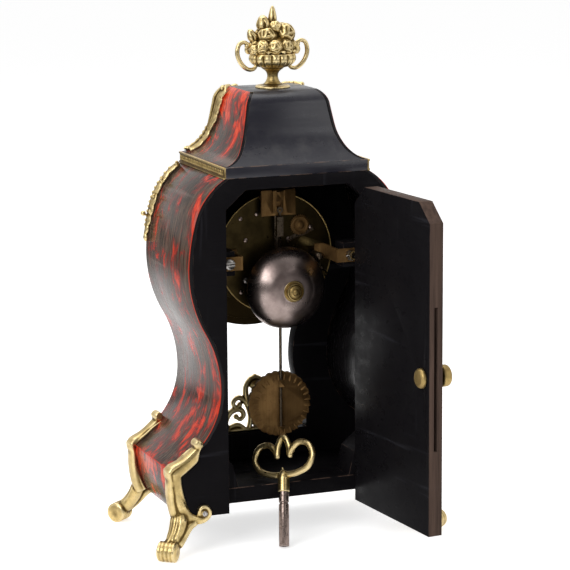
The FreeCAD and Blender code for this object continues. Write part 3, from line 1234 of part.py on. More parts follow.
NODES = {
    "back_frame": back_frame(),
    "front_frame": front_frame(),
    "side_right": side(1),
    "side_left": side(-1),
    "bottom_board": bottom_board(),
    "top_board": top_board(),
    "cornice_band": cornice_band(),
    "hood_back": hood_wall(1),
    "hood_front": hood_wall(-1),
    "hood_side_right": hood_side(1),
    "hood_side_left": hood_side(-1),
    "hood_top": hood_top(),
    "finial_vase": finial_vase(),
    "finial_handles": [finial_handle(1), finial_handle(-1)],
    "finial_bouquet": finial_bouquet(),
    "finial_stud": finial_stud(),
    "foot_back_right": FOOT,
    "foot_back_left": mirror_x(FOOT),
    "foot_front_right": mirror_y(FOOT),
    "foot_front_left": mirror_x(mirror_y(FOOT)),
    "screws": screws(),
    "corner_mount_right": corner_mount(1),
    "corner_mount_left": corner_mount(-1),
    "hood_mount_right": hood_mount(1),
    "hood_mount_left": hood_mount(-1),
    "case_blocks": case_blocks(),
    "window_mount": window_mount(),
    "back_door": back_door(),
    "case_hinges": case_hinges(),
    "door_hinges": door_hinges(),
    "latch_spindle": latch_spindle(),
    "latch_tongue": latch_tongue(),
    "dial_ring": dial_ring(),
    "dial_plate": dial_plate(),
    "numeral_plaques": numeral_plaques(),
    "bezel": bezel(),
    "bezel_glass": bezel_glass(),
    "minute_hand": minute_hand(),
    "hour_hand": hour_hand(),
    "minute_wheel": minute_wheel(),
    "front_plate": movement_plate(PLATE_FRONT, PLATE_FRONT_IN, PIVOT_R + RUNNING),
    "back_plate": movement_plate(PLATE_BACK_IN, PLATE_BACK, ANCHOR_HOLE_R),
    "pillars": pillars(),
    "going_barrel": barrel(1),
    "strike_barrel": barrel(-1),
    "going_arbor": winding_arbor(1),
    "strike_arbor": winding_arbor(-1),
    "clicks": clicks(),
    "going_train": going_train(),
    "strike_train": strike_train(),
    "count_wheel": count_wheel(),
    "straps": straps(),
    "suspension_cock": suspension_cock(),
    "anchor": anchor(),
    "pendulum_rod": pendulum_rod(),
    "pendulum_bob": pendulum_bob(),
    "bell": bell(),
    "bell_stand": bell_stand(),
    "hammer": hammer(),
    "winding_key": winding_key(),
}

os.makedirs("parts", exist_ok=True)
for name, piece in NODES.items():
    solids = piece if isinstance(piece, list) else piece.Solids
    shape = solids[0] if len(solids) == 1 else Part.makeCompound(solids)
    shape.exportStep(f"parts/{name}.step")
    print(f"{name}: {len(solids)} solids, {sum(s.Volume for s in solids):.1f} mm3, valid {shape.isValid()}")
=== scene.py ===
"""Looks of a table clock: a waisted case on four brass feet, seen from behind with its door open."""

import json
import logging
import math
from dataclasses import dataclass
from enum import Enum
from typing import Callable, Optional, Sequence, Union

import bmesh
import bpy
import numpy as np
from bpy.types import Material, Mesh, Node, NodeOutputs, NodeSocket, NodeTree
from mathutils import Matrix, Vector


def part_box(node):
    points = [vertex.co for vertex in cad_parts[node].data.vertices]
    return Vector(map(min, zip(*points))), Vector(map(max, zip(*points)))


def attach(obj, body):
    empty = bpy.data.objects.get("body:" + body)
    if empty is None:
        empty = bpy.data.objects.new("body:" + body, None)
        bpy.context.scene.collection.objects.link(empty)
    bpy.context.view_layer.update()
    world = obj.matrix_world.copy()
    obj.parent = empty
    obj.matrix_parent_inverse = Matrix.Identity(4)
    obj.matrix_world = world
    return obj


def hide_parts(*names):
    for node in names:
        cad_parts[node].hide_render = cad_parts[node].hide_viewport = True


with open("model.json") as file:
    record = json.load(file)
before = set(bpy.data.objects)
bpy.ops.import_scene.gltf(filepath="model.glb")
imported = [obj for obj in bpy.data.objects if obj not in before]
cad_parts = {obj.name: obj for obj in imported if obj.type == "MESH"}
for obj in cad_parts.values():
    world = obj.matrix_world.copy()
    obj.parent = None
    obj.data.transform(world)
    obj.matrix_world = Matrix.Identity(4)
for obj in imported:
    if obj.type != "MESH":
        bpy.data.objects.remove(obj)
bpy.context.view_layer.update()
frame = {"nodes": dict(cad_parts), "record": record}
MM = 0.001
FULL_TURN = 2 * math.pi
UP = (0, 0, 1)
BACK = (0, 1, 0)
FRONT = (0, -1, 0)
RIGHT = (1, 0, 0)
# Points nearer than these many metres are one.
SAME_PLACE = 1e-7
CAD_SAME_PLACE = 2e-6
# Edges that turn by more than these many degrees are shaded sharp. Faces that turn by less than FLAT are one.
BUILT_SHARP = 40.0
EASED_SHARP = 30.0
CAD_SHARP = 32.0
SMALL_SHARP = 35.0
FLAT = 0.4
# How far a casting's points go towards their neighbours, and how far back so that it doesn't shrink.
SMOOTHING = 0.5
RESTORING = 0.21
# Rounds of averaging that give the even surface hollows are measured from, and that calm the result.
WIDE_ROUNDS = 10
CALM_ROUNDS = 2
# A hollow that is this many voxels deep counts as full.
DEEPEST = 0.45
LOG = logging.getLogger("table_clock")

Colour = tuple[float, float, float, float]
Place = Sequence[float]
Width = Union[float, np.ndarray]
Solid = tuple[np.ndarray, list[tuple[int, ...]]]
Spread = tuple[Sequence[Place], Sequence[Place], Sequence[Place]]
Feed = Union[float, tuple, NodeSocket]


class Body(Enum):
    """Bodies that the pieces ride on."""

    CASE = "case"
    DOOR = "back_door"
    LATCH = "latch"
    BEZEL = "bezel"
    MINUTE = "minute_hand"
    HOUR = "hour_hand"
    PENDULUM = "pendulum"
    KEY = "winding_key"
    ANCHOR = "anchor"
    HAMMER = "hammer"
    MINUTE_WHEEL = "minute_wheel"
    GOING_ARBOR = "going_arbor"
    STRIKE_ARBOR = "strike_arbor"


class Slot(Enum):
    """Material slots of the record."""

    EBONISED = "ebonised_wood"
    MARQUETRY = "marquetry"
    BARE_WOOD = "bare_wood"
    GILT = "gilt_brass"
    SHEET = "sheet_brass"
    BELL = "bell_metal"
    STEEL = "steel"
    BLUED = "blued_steel"
    ENAMEL = "white_enamel"
    GLASS = "glass"


class NodeSheet:
    """Adds nodes to one tree and joins them."""

    def __init__(self, tree: NodeTree) -> None:
        """Keep the tree that the nodes go into."""
        self.tree = tree

    def feed(self, socket: NodeSocket, value: Feed) -> None:
        """Link a socket to the input, or set the input to a constant.

        Args:
            socket: Input of a node.
            value: An output to link, or a constant.
        """
        if isinstance(value, NodeSocket):
            self.tree.links.new(value, socket)
        else:
            socket.default_value = value

    def add(self, kind: str, settings: Optional[dict] = None, *inputs: Feed, **sockets: Feed) -> Node:
        """Add a node.

        Args:
            kind: Blender's name of the node type.
            settings: Properties of the node.
            inputs: What feeds its first inputs, in order.
            sockets: Inputs by name, with an underscore for each space.

        Returns:
            The new node.
        """
        node = self.tree.nodes.new(kind)
        for name, value in (settings or {}).items():
            setattr(node, name, value)
        for socket, value in zip(node.inputs, inputs):
            self.feed(socket, value)
        self.fill(node, **sockets)
        return node

    def fill(self, node: Node, **sockets: Feed) -> None:
        """Feed a node's inputs by name, with an underscore for each space."""
        for name, value in sockets.items():
            self.feed(node.inputs[name.replace("_", " ")], value)

    def math(self, operation: str, a: Feed, b: Feed) -> NodeSocket:
        """Return the clamped result of a Math node on two inputs."""
        return self.add("ShaderNodeMath", {"operation": operation, "use_clamp": True}, a, b).outputs[0]

    def times(self, a: Feed, b: Feed) -> NodeSocket:
        """Return the product of two inputs."""
        return self.math("MULTIPLY", a, b)

    def plus(self, a: Feed, b: Feed) -> NodeSocket:
        """Return the sum of two inputs."""
        return self.math("ADD", a, b)

    def most(self, a: Feed, b: Feed) -> NodeSocket:
        """Return the greater of two inputs."""
        return self.math("MAXIMUM", a, b)

    def vector(self, operation: str, *inputs: Feed) -> NodeOutputs:
        """Return the outputs of a Vector Math node."""
        return self.add("ShaderNodeVectorMath", {"operation": operation}, *inputs).outputs

    def upward(self, vector: Feed) -> NodeSocket:
        """Return the third part of a vector."""
        return self.add("ShaderNodeSeparateXYZ", None, vector).outputs[2]

    def mix(self, factor: Feed, low: Feed, high: Feed) -> NodeSocket:
        """Return a colour between two colours.

        Args:
            factor: Share of the second colour.
            low: First colour.
            high: Second colour.

        Returns:
            The colour.
        """
        node = self.add("ShaderNodeMix", {"data_type": "RGBA"}, factor)
        for index, value in ((6, low), (7, high)):
            self.feed(node.inputs[index], value)
        return node.outputs[2]

    def step(self, value: Feed, low: float, high: float, start: float = 0.0, end: float = 1.0) -> NodeSocket:
        """Return value eased from start to end as it goes from low to high."""
        settings = {"interpolation_type": "SMOOTHSTEP"}
        return self.add("ShaderNodeMapRange", settings, value, low, high, start, end).outputs[0]

    def spot(self) -> NodeSocket:
        """Return Object coordinates."""
        return self.add("ShaderNodeTexCoord").outputs["Object"]

    def place(self, scale: Place, turn: Place = (0, 0, 0), shift: Place = (0, 0, 0)) -> NodeSocket:
        """Return Object coordinates, scaled, turned and shifted."""
        node = self.add("ShaderNodeMapping", None, self.spot(), Scale=scale, Rotation=turn, Location=shift)
        return node.outputs[0]

    def noise(self, scale: Feed, detail: float = 4.0, roughness: float = 0.55, twist: float = 0.0,
              where: Optional[NodeSocket] = None) -> NodeSocket:
        """Return noise.

        Args:
            scale: How fine it is.
            detail: Number of finer layers.
            roughness: Weight of the finer layers.
            twist: How much it is distorted.
            where: Coordinates, if not plain Object coordinates.

        Returns:
            Values between 0 and 1.
        """
        node = self.add("ShaderNodeTexNoise", None, Vector=where or self.spot(), Scale=scale, Detail=detail)
        self.fill(node, Roughness=roughness, Distortion=twist)
        return node.outputs[0]

    def attribute(self, name: str) -> NodeSocket:
        """Return a number that the mesh carries under this name, or 0."""
        return self.add("ShaderNodeAttribute", {"attribute_name": name}).outputs["Fac"]


class ShaderGroups:
    """Effects that several finishes share, each a node group that gives a mask or a height."""

    def __init__(self) -> None:
        """Build every group once."""
        plans = (
            ("scratches", "Amount", self._scratches),
            ("dust", "Amount", self._dust),
            ("grain", "Stretch", self._grain),
            ("patina", "Depth", self._patina),
        )
        self.trees = {name: self._group(name, second, fill) for name, second, fill in plans}

    @staticmethod
    def _group(name: str, second: str, fill: Callable) -> NodeTree:
        """Make a group with two float inputs and one output named Mask.

        Args:
            name: Name of the group.
            second: Name of its second input, after Scale.
            fill: Method that adds the nodes and returns the mask.

        Returns:
            The node tree.
        """
        tree = bpy.data.node_groups.new(name, "ShaderNodeTree")
        for label, way in (("Scale", "INPUT"), (second, "INPUT"), ("Mask", "OUTPUT")):
            tree.interface.new_socket(name=label, in_out=way, socket_type="NodeSocketFloat")
        sheet = NodeSheet(tree)
        source = tree.nodes.new("NodeGroupInput").outputs
        sheet.feed(tree.nodes.new("NodeGroupOutput").inputs["Mask"], fill(sheet, source))
        return tree

    @staticmethod
    def _scratches(sheet: NodeSheet, source: NodeOutputs) -> NodeSocket:
        """Return thin lines that run up the piece and across it.

        Args:
            sheet: Nodes of the tree.
            source: Inputs of the group.

        Returns:
            The mask.
        """
        lines: Feed = 0.0
        for scale, turn in (((1.0, 1.0, 0.04), (0.06, 0.05, 0.3)), ((0.05, 0.05, 1.0), (0.05, -0.07, 0.5))):
            streak = sheet.noise(source["Scale"], 3.0, where=sheet.place(scale, turn, turn))
            lines = sheet.most(sheet.step(streak, 0.62, 0.74), lines)
        return sheet.times(lines, source["Amount"])

    @staticmethod
    def _dust(sheet: NodeSheet, source: NodeOutputs) -> NodeSocket:
        """Return patches that lie thickest on faces that look up.

        Args:
            sheet: Nodes of the tree.
            source: Inputs of the group.

        Returns:
            The mask.
        """
        up = sheet.upward(sheet.add("ShaderNodeNewGeometry").outputs["Normal"])
        patch = sheet.step(sheet.noise(source["Scale"], 6.0, 0.7), 0.42, 0.75)
        return sheet.times(sheet.times(patch, sheet.step(up, -0.2, 0.9, 0.12, 1.0)), source["Amount"])

    @staticmethod
    def _grain(sheet: NodeSheet, source: NodeOutputs) -> NodeSocket:
        """Return streaks that run up the piece.

        Args:
            sheet: Nodes of the tree.
            source: Inputs of the group.

        Returns:
            The height.
        """
        stretch = sheet.add("ShaderNodeCombineXYZ", None, 1.0, 1.0, source["Stretch"]).outputs[0]
        where = sheet.vector("MULTIPLY", sheet.spot(), stretch)[0]
        return sheet.noise(source["Scale"], 5.0, 0.65, 0.3, where)

    @staticmethod
    def _patina(sheet: NodeSheet, source: NodeOutputs) -> NodeSocket:
        """Return 1 in the hollows of a casting and less on its high places.

        Args:
            sheet: Nodes of the tree.
            source: Inputs of the group.

        Returns:
            The mask.
        """
        hollow = sheet.step(sheet.attribute("cavity"), -0.55, 0.35, 1.0, 0.0)
        cloud = sheet.step(sheet.noise(source["Scale"], 5.0, 0.6), 0.35, 0.7)
        return sheet.times(sheet.plus(hollow, sheet.times(cloud, 0.45)), source["Depth"])


class Surface(NodeSheet):
    """Nodes of one material, round its shader."""

    def __init__(self, name: str, groups: ShaderGroups) -> None:
        """Start a material with the shared effects at hand.

        Args:
            name: Name of the material.
            groups: The shared effects.
        """
        self.material = bpy.data.materials.new(name)
        self.material.use_nodes = True
        super().__init__(self.material.node_tree)
        self.groups = groups

    def finish(self, **sockets: Feed) -> None:
        """Feed the shader's inputs by name, with an underscore for each space."""
        self.fill(self.tree.nodes["Principled BSDF"], **sockets)

    def effect(self, name: str, **values: float) -> NodeSocket:
        """Place a shared effect with its own values and return its mask."""
        return self.add("ShaderNodeGroup", {"node_tree": self.groups.trees[name]}, **values).outputs["Mask"]

    def bump(self, height: Feed, strength: float, depth: float) -> None:
        """Feed the shader's normal from a height that is depth millimetres at 1."""
        node = self.add("ShaderNodeBump", None, Height=height, Strength=strength, Distance=depth * MM)
        self.finish(Normal=node.outputs[0])


class Finish:
    """A material that is made once. A finish gives its slot and the nodes of its surface."""

    slot: Slot

    def build(self, groups: ShaderGroups) -> Material:
        """Make the material.

        Args:
            groups: The shared effects.

        Returns:
            The finished material.
        """
        surface = Surface(type(self).__name__, groups)
        self.paint(surface)
        return surface.material

    def paint(self, sheet: Surface) -> None:
        """Feed the shader's inputs."""
        raise NotImplementedError


@dataclass(frozen=True)
class EbonisedWood(Finish):
    """Black stained pear wood under worn polish, brown where its edges are rubbed."""

    slot: Slot = Slot.EBONISED
    polish: Colour = (0.0105, 0.0100, 0.0165, 1)
    scuffed: Colour = (0.05, 0.05, 0.06, 1)
    dusty: Colour = (0.10, 0.095, 0.09, 1)
    worn: Colour = (0.110, 0.072, 0.056, 1)
    gloss: float = 0.46
    dust: float = 0.3

    def paint(self, sheet: Surface) -> None:
        """Feed polish, scratches, dust, rubbed edges and bare ends.

        Args:
            sheet: Nodes of the material.
        """
        grain = sheet.effect("grain", Scale=260.0, Stretch=0.05)
        scratch = sheet.effect("scratches", Scale=150.0, Amount=0.3)
        dust = sheet.effect("dust", Scale=60.0, Amount=self.dust)
        colour = sheet.mix(scratch, sheet.mix(dust, self.polish, self.dusty), self.scuffed)
        rubbed = sheet.times(sheet.attribute("edge"), sheet.step(sheet.noise(130.0, 5.0), 0.46, 0.6))
        bare = sheet.times(sheet.attribute("bare"), sheet.step(grain, 0.2, 0.75, 0.35, 1.0))
        cloudy = sheet.noise(150.0, 5.0, 0.65, where=sheet.place((0.12, 0.6, 1)))
        rough = sheet.plus(sheet.step(cloudy, 0.3, 0.7, 0.24, 0.4), sheet.times(dust, 0.5))
        sheet.finish(
            Base_Color=sheet.mix(sheet.most(rubbed, bare), colour, self.worn),
            Roughness=sheet.most(rough, sheet.times(bare, 0.62)),
            Specular_IOR_Level=self.gloss,
        )
        sheet.bump(sheet.math("SUBTRACT", grain, sheet.times(scratch, 0.6)), 0.16, 0.12)


@dataclass(frozen=True)
class Marquetry(Finish):
    """Red shell veneer with dark brown flames and fine streaks, under glossy polish."""

    slot: Slot = Slot.MARQUETRY
    red: Colour = (0.62, 0.040, 0.014, 1)
    deep_red: Colour = (0.24, 0.012, 0.008, 1)
    orange: Colour = (0.74, 0.085, 0.030, 1)
    brown: Colour = (0.125, 0.078, 0.054, 1)
    dark: Colour = (0.024, 0.017, 0.013, 1)
    scuffed: Colour = (0.30, 0.22, 0.19, 1)
    lining: Colour = (0.010, 0.009, 0.010, 1)
    drift: tuple[float, float, float] = (0.009, 0.013, 0.006)
    base: tuple = ((0.034, 0.052, 0.02, 0.12), (0.054, 0.060))
    waist: tuple = ((0.07, 0.085, 0.0, 0.03), (0.10, 0.19))
    crown: tuple[float, float, float, float] = (0.262, 0.284, 0.0, 0.1)

    def flames(self, sheet: Surface) -> NodeSocket:
        """Return the strength of the flames, which are stronger at the base, the waist and the crown.

        Args:
            sheet: Nodes of the material.

        Returns:
            Values that make a flame from about 0.56 on.
        """
        drift = sheet.noise(38.0, 3.0, where=sheet.place((1, 1, 0.6)))
        drifts = sheet.add("ShaderNodeCombineXYZ", None, drift, drift, drift).outputs[0]
        flow = sheet.vector("MULTIPLY_ADD", drifts, self.drift, sheet.place((0.5, 0.85, 0.42)))[0]
        height = sheet.upward(sheet.spot())
        zones = []
        for rise, fall in (self.base, self.waist):
            zones.append(sheet.times(sheet.step(height, *rise), sheet.step(height, *fall, 1.0, 0.0)))
        flames = sheet.noise(92.0, 8.0, 0.68, 0.8, flow)
        return sheet.plus(sheet.plus(flames, sheet.step(height, *self.crown)), sheet.plus(*zones))

    def paint(self, sheet: Surface) -> None:
        """Feed the flames, the streaks and the polish.

        Args:
            sheet: Nodes of the material.
        """
        shown = self.flames(sheet)
        streaks = sheet.noise(520.0, 5.0, 0.7, 0.5, sheet.place((0.3, 1.0, 0.07)))
        patch = sheet.step(shown, 0.56, 0.62)
        zone = sheet.step(sheet.noise(17.0, 3.0, where=sheet.place((1, 1, 0.6))), 0.48, 0.62, 0.0, 0.7)
        ground = sheet.mix(zone, sheet.mix(sheet.step(streaks, 0.36, 0.64), self.dark, self.brown), self.dark)
        ground = sheet.mix(sheet.times(sheet.step(shown, 0.47, 0.60), 0.6), ground, self.deep_red)
        glow = sheet.mix(sheet.step(streaks, 0.35, 0.55), self.deep_red, self.red)
        glow = sheet.mix(sheet.step(shown, 0.61, 0.72), glow, self.orange)
        colour = sheet.mix(patch, ground, glow)
        colour = sheet.mix(sheet.times(sheet.attribute("edge"), 0.75), colour, self.red)
        colour = sheet.mix(sheet.effect("scratches", Scale=95.0, Amount=0.35), colour, self.scuffed)
        sheet.finish(
            Base_Color=sheet.mix(sheet.attribute("inside"), colour, self.lining),
            Roughness=sheet.step(streaks, 0.3, 0.7, 0.13, 0.3),
            Specular_IOR_Level=0.13,
            Coat_Weight=0.02,
            Coat_Roughness=0.1,
        )
        sheet.bump(sheet.plus(streaks, sheet.times(patch, 0.4)), 0.42, 0.15)


@dataclass(frozen=True)
class CastBrass(Finish):
    """Pale gilt brass castings, dark in the hollows and bright where hands rub them."""

    slot: Slot = Slot.GILT
    gilt: Colour = (0.63, 0.47, 0.20, 1)
    stain: Colour = (0.12, 0.075, 0.022, 1)
    bright: Colour = (0.78, 0.64, 0.36, 1)
    back: Colour = (0.030, 0.020, 0.008, 1)

    def paint(self, sheet: Surface) -> None:
        """Feed gilding, stain and rubbed places.

        Args:
            sheet: Nodes of the material.
        """
        stained = sheet.effect("patina", Scale=140.0, Depth=1.0)
        rubbed = sheet.times(sheet.step(sheet.attribute("cavity"), 0.25, 0.9), 0.6)
        colour = sheet.mix(rubbed, sheet.mix(stained, self.gilt, self.stain), self.bright)
        pits = sheet.noise(900.0, 3.0)
        sheet.finish(
            Base_Color=sheet.mix(sheet.attribute("inside"), colour, self.back),
            Roughness=sheet.plus(sheet.step(pits, 0.3, 0.7, 0.24, 0.36), sheet.times(stained, 0.22)),
            Metallic=1.0,
        )
        sheet.bump(pits, 0.2, 0.1)


@dataclass(frozen=True)
class SheetBrass(Finish):
    """Rolled brass, dull and brown with age, with polishing lines."""

    slot: Slot = Slot.SHEET
    clean: Colour = (0.50, 0.36, 0.14, 1)
    aged: Colour = (0.15, 0.095, 0.035, 1)
    rough: float = 0.34

    def paint(self, sheet: Surface) -> None:
        """Feed clean and aged patches and the polishing lines.

        Args:
            sheet: Nodes of the material.
        """
        aged = sheet.effect("patina", Scale=75.0, Depth=0.85)
        lines = sheet.effect("grain", Scale=900.0, Stretch=0.04)
        spots = sheet.times(sheet.step(sheet.noise(420.0, 3.0), 0.58, 0.7), 0.6)
        polish = sheet.step(lines, 0.3, 0.7, self.rough, self.rough + 0.14)
        sheet.finish(
            Base_Color=sheet.mix(sheet.most(aged, spots), self.clean, self.aged),
            Roughness=sheet.plus(polish, sheet.times(aged, 0.22)),
            Metallic=1.0,
        )
        sheet.bump(lines, 0.1, 0.1)


@dataclass(frozen=True)
class BellMetal(Finish):
    """Polished bell, violet grey, with turning marks and a hazy tarnish."""

    slot: Slot = Slot.BELL
    polished: Colour = (0.37, 0.295, 0.27, 1)
    tarnish: Colour = (0.17, 0.125, 0.115, 1)

    def paint(self, sheet: Surface) -> None:
        """Feed the tarnish and the turning marks.

        Args:
            sheet: Nodes of the material.
        """
        haze = sheet.step(sheet.noise(55.0, 5.0, 0.6), 0.35, 0.75)
        marks = sheet.effect("scratches", Scale=160.0, Amount=0.5)
        sheet.finish(
            Base_Color=sheet.mix(haze, self.polished, self.tarnish),
            Roughness=sheet.plus(sheet.step(haze, 0.0, 1.0, 0.27, 0.36), sheet.times(marks, 0.15)),
            Metallic=1.0,
        )
        sheet.bump(marks, 0.08, 0.05)


@dataclass(frozen=True)
class Steel(Finish):
    """Bright steel with rust freckles."""

    slot: Slot = Slot.STEEL
    bright: Colour = (0.42, 0.40, 0.38, 1)
    rust: Colour = (0.10, 0.065, 0.05, 1)

    def paint(self, sheet: Surface) -> None:
        """Feed the drawn lines and the freckles.

        Args:
            sheet: Nodes of the material.
        """
        lines = sheet.effect("grain", Scale=700.0, Stretch=0.05)
        freckle = sheet.step(sheet.noise(330.0, 5.0, 0.7), 0.48, 0.66)
        sheet.finish(
            Base_Color=sheet.mix(sheet.times(freckle, 0.7), self.bright, self.rust),
            Roughness=sheet.plus(sheet.step(lines, 0.3, 0.7, 0.2, 0.36), sheet.times(freckle, 0.3)),
            Metallic=1.0,
        )
        sheet.bump(lines, 0.1, 0.08)


@dataclass(frozen=True)
class BluedSteel(Finish):
    """Steel blued by heat, lighter where the colour is rubbed."""

    slot: Slot = Slot.BLUED
    blue: Colour = (0.015, 0.028, 0.11, 1)
    rubbed: Colour = (0.12, 0.13, 0.19, 1)

    def paint(self, sheet: Surface) -> None:
        """Feed the blue and the rubbed places.

        Args:
            sheet: Nodes of the material.
        """
        worn = sheet.step(sheet.noise(300.0), 0.5, 0.72)
        lines = sheet.effect("grain", Scale=800.0, Stretch=0.06)
        sheet.finish(
            Base_Color=sheet.mix(worn, self.blue, self.rubbed),
            Roughness=sheet.step(lines, 0.3, 0.7, 0.2, 0.32),
            Metallic=0.9,
        )


@dataclass(frozen=True)
class BareWood(Finish):
    """Brown wood without polish, with pores along the grain."""

    slot: Slot = Slot.BARE_WOOD
    pale: Colour = (0.085, 0.048, 0.026, 1)
    pore: Colour = (0.020, 0.012, 0.008, 1)
    dirty: Colour = (0.05, 0.045, 0.04, 1)

    def paint(self, sheet: Surface) -> None:
        """Feed the grain and the dirt.

        Args:
            sheet: Nodes of the material.
        """
        grain = sheet.effect("grain", Scale=420.0, Stretch=0.06)
        dirt = sheet.effect("dust", Scale=50.0, Amount=0.4)
        colour = sheet.mix(sheet.step(grain, 0.3, 0.7), self.pore, self.pale)
        sheet.finish(
            Base_Color=sheet.mix(dirt, colour, self.dirty),
            Roughness=sheet.step(grain, 0.3, 0.7, 0.75, 0.6),
        )
        sheet.bump(grain, 0.3, 0.15)


@dataclass(frozen=True)
class Enamel(Finish):
    """Fired white enamel with fine grey crazing."""

    slot: Slot = Slot.ENAMEL
    white: Colour = (0.80, 0.79, 0.74, 1)
    line: Colour = (0.42, 0.40, 0.36, 1)

    def paint(self, sheet: Surface) -> None:
        """Feed the glaze and the crazing.

        Args:
            sheet: Nodes of the material.
        """
        edges = {"feature": "DISTANCE_TO_EDGE"}
        cells = sheet.add("ShaderNodeTexVoronoi", edges, Vector=sheet.spot(), Scale=420.0).outputs["Distance"]
        sheet.finish(
            Base_Color=sheet.mix(sheet.step(cells, 0.0, 0.035, 0.5, 0.0), self.white, self.line),
            Roughness=sheet.step(sheet.noise(120.0, 3.0), 0.3, 0.7, 0.12, 0.22),
            Coat_Weight=0.3,
        )


@dataclass(frozen=True)
class NumeralInk(Finish):
    """Dark blue-black enamel paint of the hour numerals."""

    slot: Slot = Slot.ENAMEL
    ink: Colour = (0.012, 0.014, 0.04, 1)
    thin: Colour = (0.05, 0.055, 0.10, 1)

    def paint(self, sheet: Surface) -> None:
        """Feed thick and thin paint.

        Args:
            sheet: Nodes of the material.
        """
        brushed = sheet.step(sheet.noise(700.0, 3.0), 0.45, 0.7)
        sheet.finish(
            Base_Color=sheet.mix(brushed, self.ink, self.thin),
            Roughness=sheet.step(brushed, 0.0, 1.0, 0.2, 0.35),
        )


@dataclass(frozen=True)
class ClearGlass(Finish):
    """Domed glass with faint smears."""

    slot: Slot = Slot.GLASS
    tint: Colour = (0.96, 0.98, 0.97, 1)

    def paint(self, sheet: Surface) -> None:
        """Feed the smears. The rest is plain glass.

        Args:
            sheet: Nodes of the material.
        """
        smear = sheet.effect("dust", Scale=45.0, Amount=0.3)
        sheet.finish(Base_Color=self.tint, Transmission_Weight=1.0, IOR=1.5, Metallic=0.0)
        sheet.finish(Roughness=sheet.step(smear, 0.0, 1.0, 0.0, 0.03))


def smooth(mesh: Mesh, angle: float) -> None:
    """Shade a mesh smooth, with an edge kept sharp where its faces meet at more than angle degrees."""
    mesh.shade_smooth()
    mesh.set_sharp_from_angle(angle=math.radians(angle))


def mark(mesh: Mesh, name: str, domain: str, values: Sequence[float]) -> None:
    """Give each face or point of a mesh a number under a name."""
    layer = mesh.attributes.new(name, "FLOAT", domain)
    layer.data.foreach_set("value", np.asarray(values, np.float32))


def mesh_from(solids: Sequence[Solid], name: str) -> Mesh:
    """Join solids given in millimetres into one mesh in metres.

    Args:
        solids: Points and faces of each.
        name: Name of the mesh.

    Returns:
        The mesh, with its faces turned outwards and smooth.
    """
    faces: list[tuple[int, ...]] = []
    start = 0
    for places, loops in solids:
        faces += [tuple(start + index for index in loop) for loop in loops]
        start += len(places)
    mesh = bpy.data.meshes.new(name)
    mesh.from_pydata((np.concatenate([places for places, _ in solids]) * MM).tolist(), [], faces)
    work = bmesh.new()
    work.from_mesh(mesh)
    bmesh.ops.remove_doubles(work, verts=work.verts, dist=SAME_PLACE)
    bmesh.ops.recalc_face_normals(work, faces=work.faces)
    work.to_mesh(mesh)
    work.free()
    smooth(mesh, BUILT_SHARP)
    return mesh


def curve(points: Sequence[Place], count: int) -> np.ndarray:
    """Return count points, evenly spaced along a smooth line through the given points.

    Args:
        points: Points in two or three dimensions.
        count: Number of points.

    Returns:
        One row for each point.
    """
    knots = np.asarray(points, float)
    padded = np.vstack([2 * knots[0] - knots[1], knots, 2 * knots[-1] - knots[-2]])
    t = np.linspace(0, 1, 24, endpoint=False)[:, None]
    dense = []
    for a, b, c, d in zip(padded, padded[1:], padded[2:], padded[3:]):
        bend = (2 * a - 5 * b + 4 * c - d) * t**2 + (3 * b - a - 3 * c + d) * t**3
        dense.append(0.5 * (2 * b + (c - a) * t + bend))
    line = np.vstack(dense + [knots[-1:]])
    run = np.concatenate([[0], np.cumsum(np.linalg.norm(np.diff(line, axis=0), axis=1))])
    even = np.linspace(0, run[-1], count)
    return np.stack([np.interp(even, run, line[:, axis]) for axis in range(line.shape[1])], 1)


def upright(line: np.ndarray, y: float) -> np.ndarray:
    """Return points of the plane of X and Z at the depth y."""
    return np.stack([line[:, 0], np.full(len(line), y), line[:, 1]], 1)


def unit(vectors: np.ndarray) -> np.ndarray:
    """Return each row at length 1."""
    return vectors / np.linalg.norm(vectors, axis=1)[:, None]


def between(rows: int, around: int) -> list[tuple[int, ...]]:
    """Return the faces between rows of points, each row a closed ring.

    Args:
        rows: Number of rows.
        around: Points in each row.

    Returns:
        Four point numbers for each face.
    """
    faces = []
    for i in range(rows - 1):
        for j in range(around):
            k = (j + 1) % around
            faces.append((i * around + j, i * around + k, (i + 1) * around + k, (i + 1) * around + j))
    return faces


def sweep(path: np.ndarray, wide: Width, thick: Width, side: Place, power: float = 2.0,
          around: int = 14) -> Solid:
    """Return a bar along a path.

    Args:
        path: Points of its middle line.
        wide: Half width along side, one number or one for each point.
        thick: Half thickness across it.
        side: Direction of its width.
        power: 2 gives an oval section and more a squarer one.
        around: Points round the section.

    Returns:
        The closed solid.
    """
    count = len(path)
    along = unit(np.gradient(path, axis=0))
    across = np.broadcast_to(np.asarray(side, float), (count, 3))
    across = unit(across - (across * along).sum(1)[:, None] * along)
    normal = np.cross(along, across)
    angle = np.arange(around) / around * FULL_TURN
    cos = np.sign(np.cos(angle)) * np.abs(np.cos(angle)) ** (2 / power)
    sin = np.sign(np.sin(angle)) * np.abs(np.sin(angle)) ** (2 / power)
    half = np.broadcast_to(wide, count)[:, None] * cos
    deep = np.broadcast_to(thick, count)[:, None] * sin
    rings = path[:, None] + across[:, None] * half[..., None] + normal[:, None] * deep[..., None]
    faces = between(count, around)
    last = count * around
    for j in range(around):
        k = (j + 1) % around
        faces += [(last, k, j), (last + 1, last - around + j, last - around + k)]
    return np.vstack([rings.reshape(-1, 3), path[:1], path[-1:]]), faces


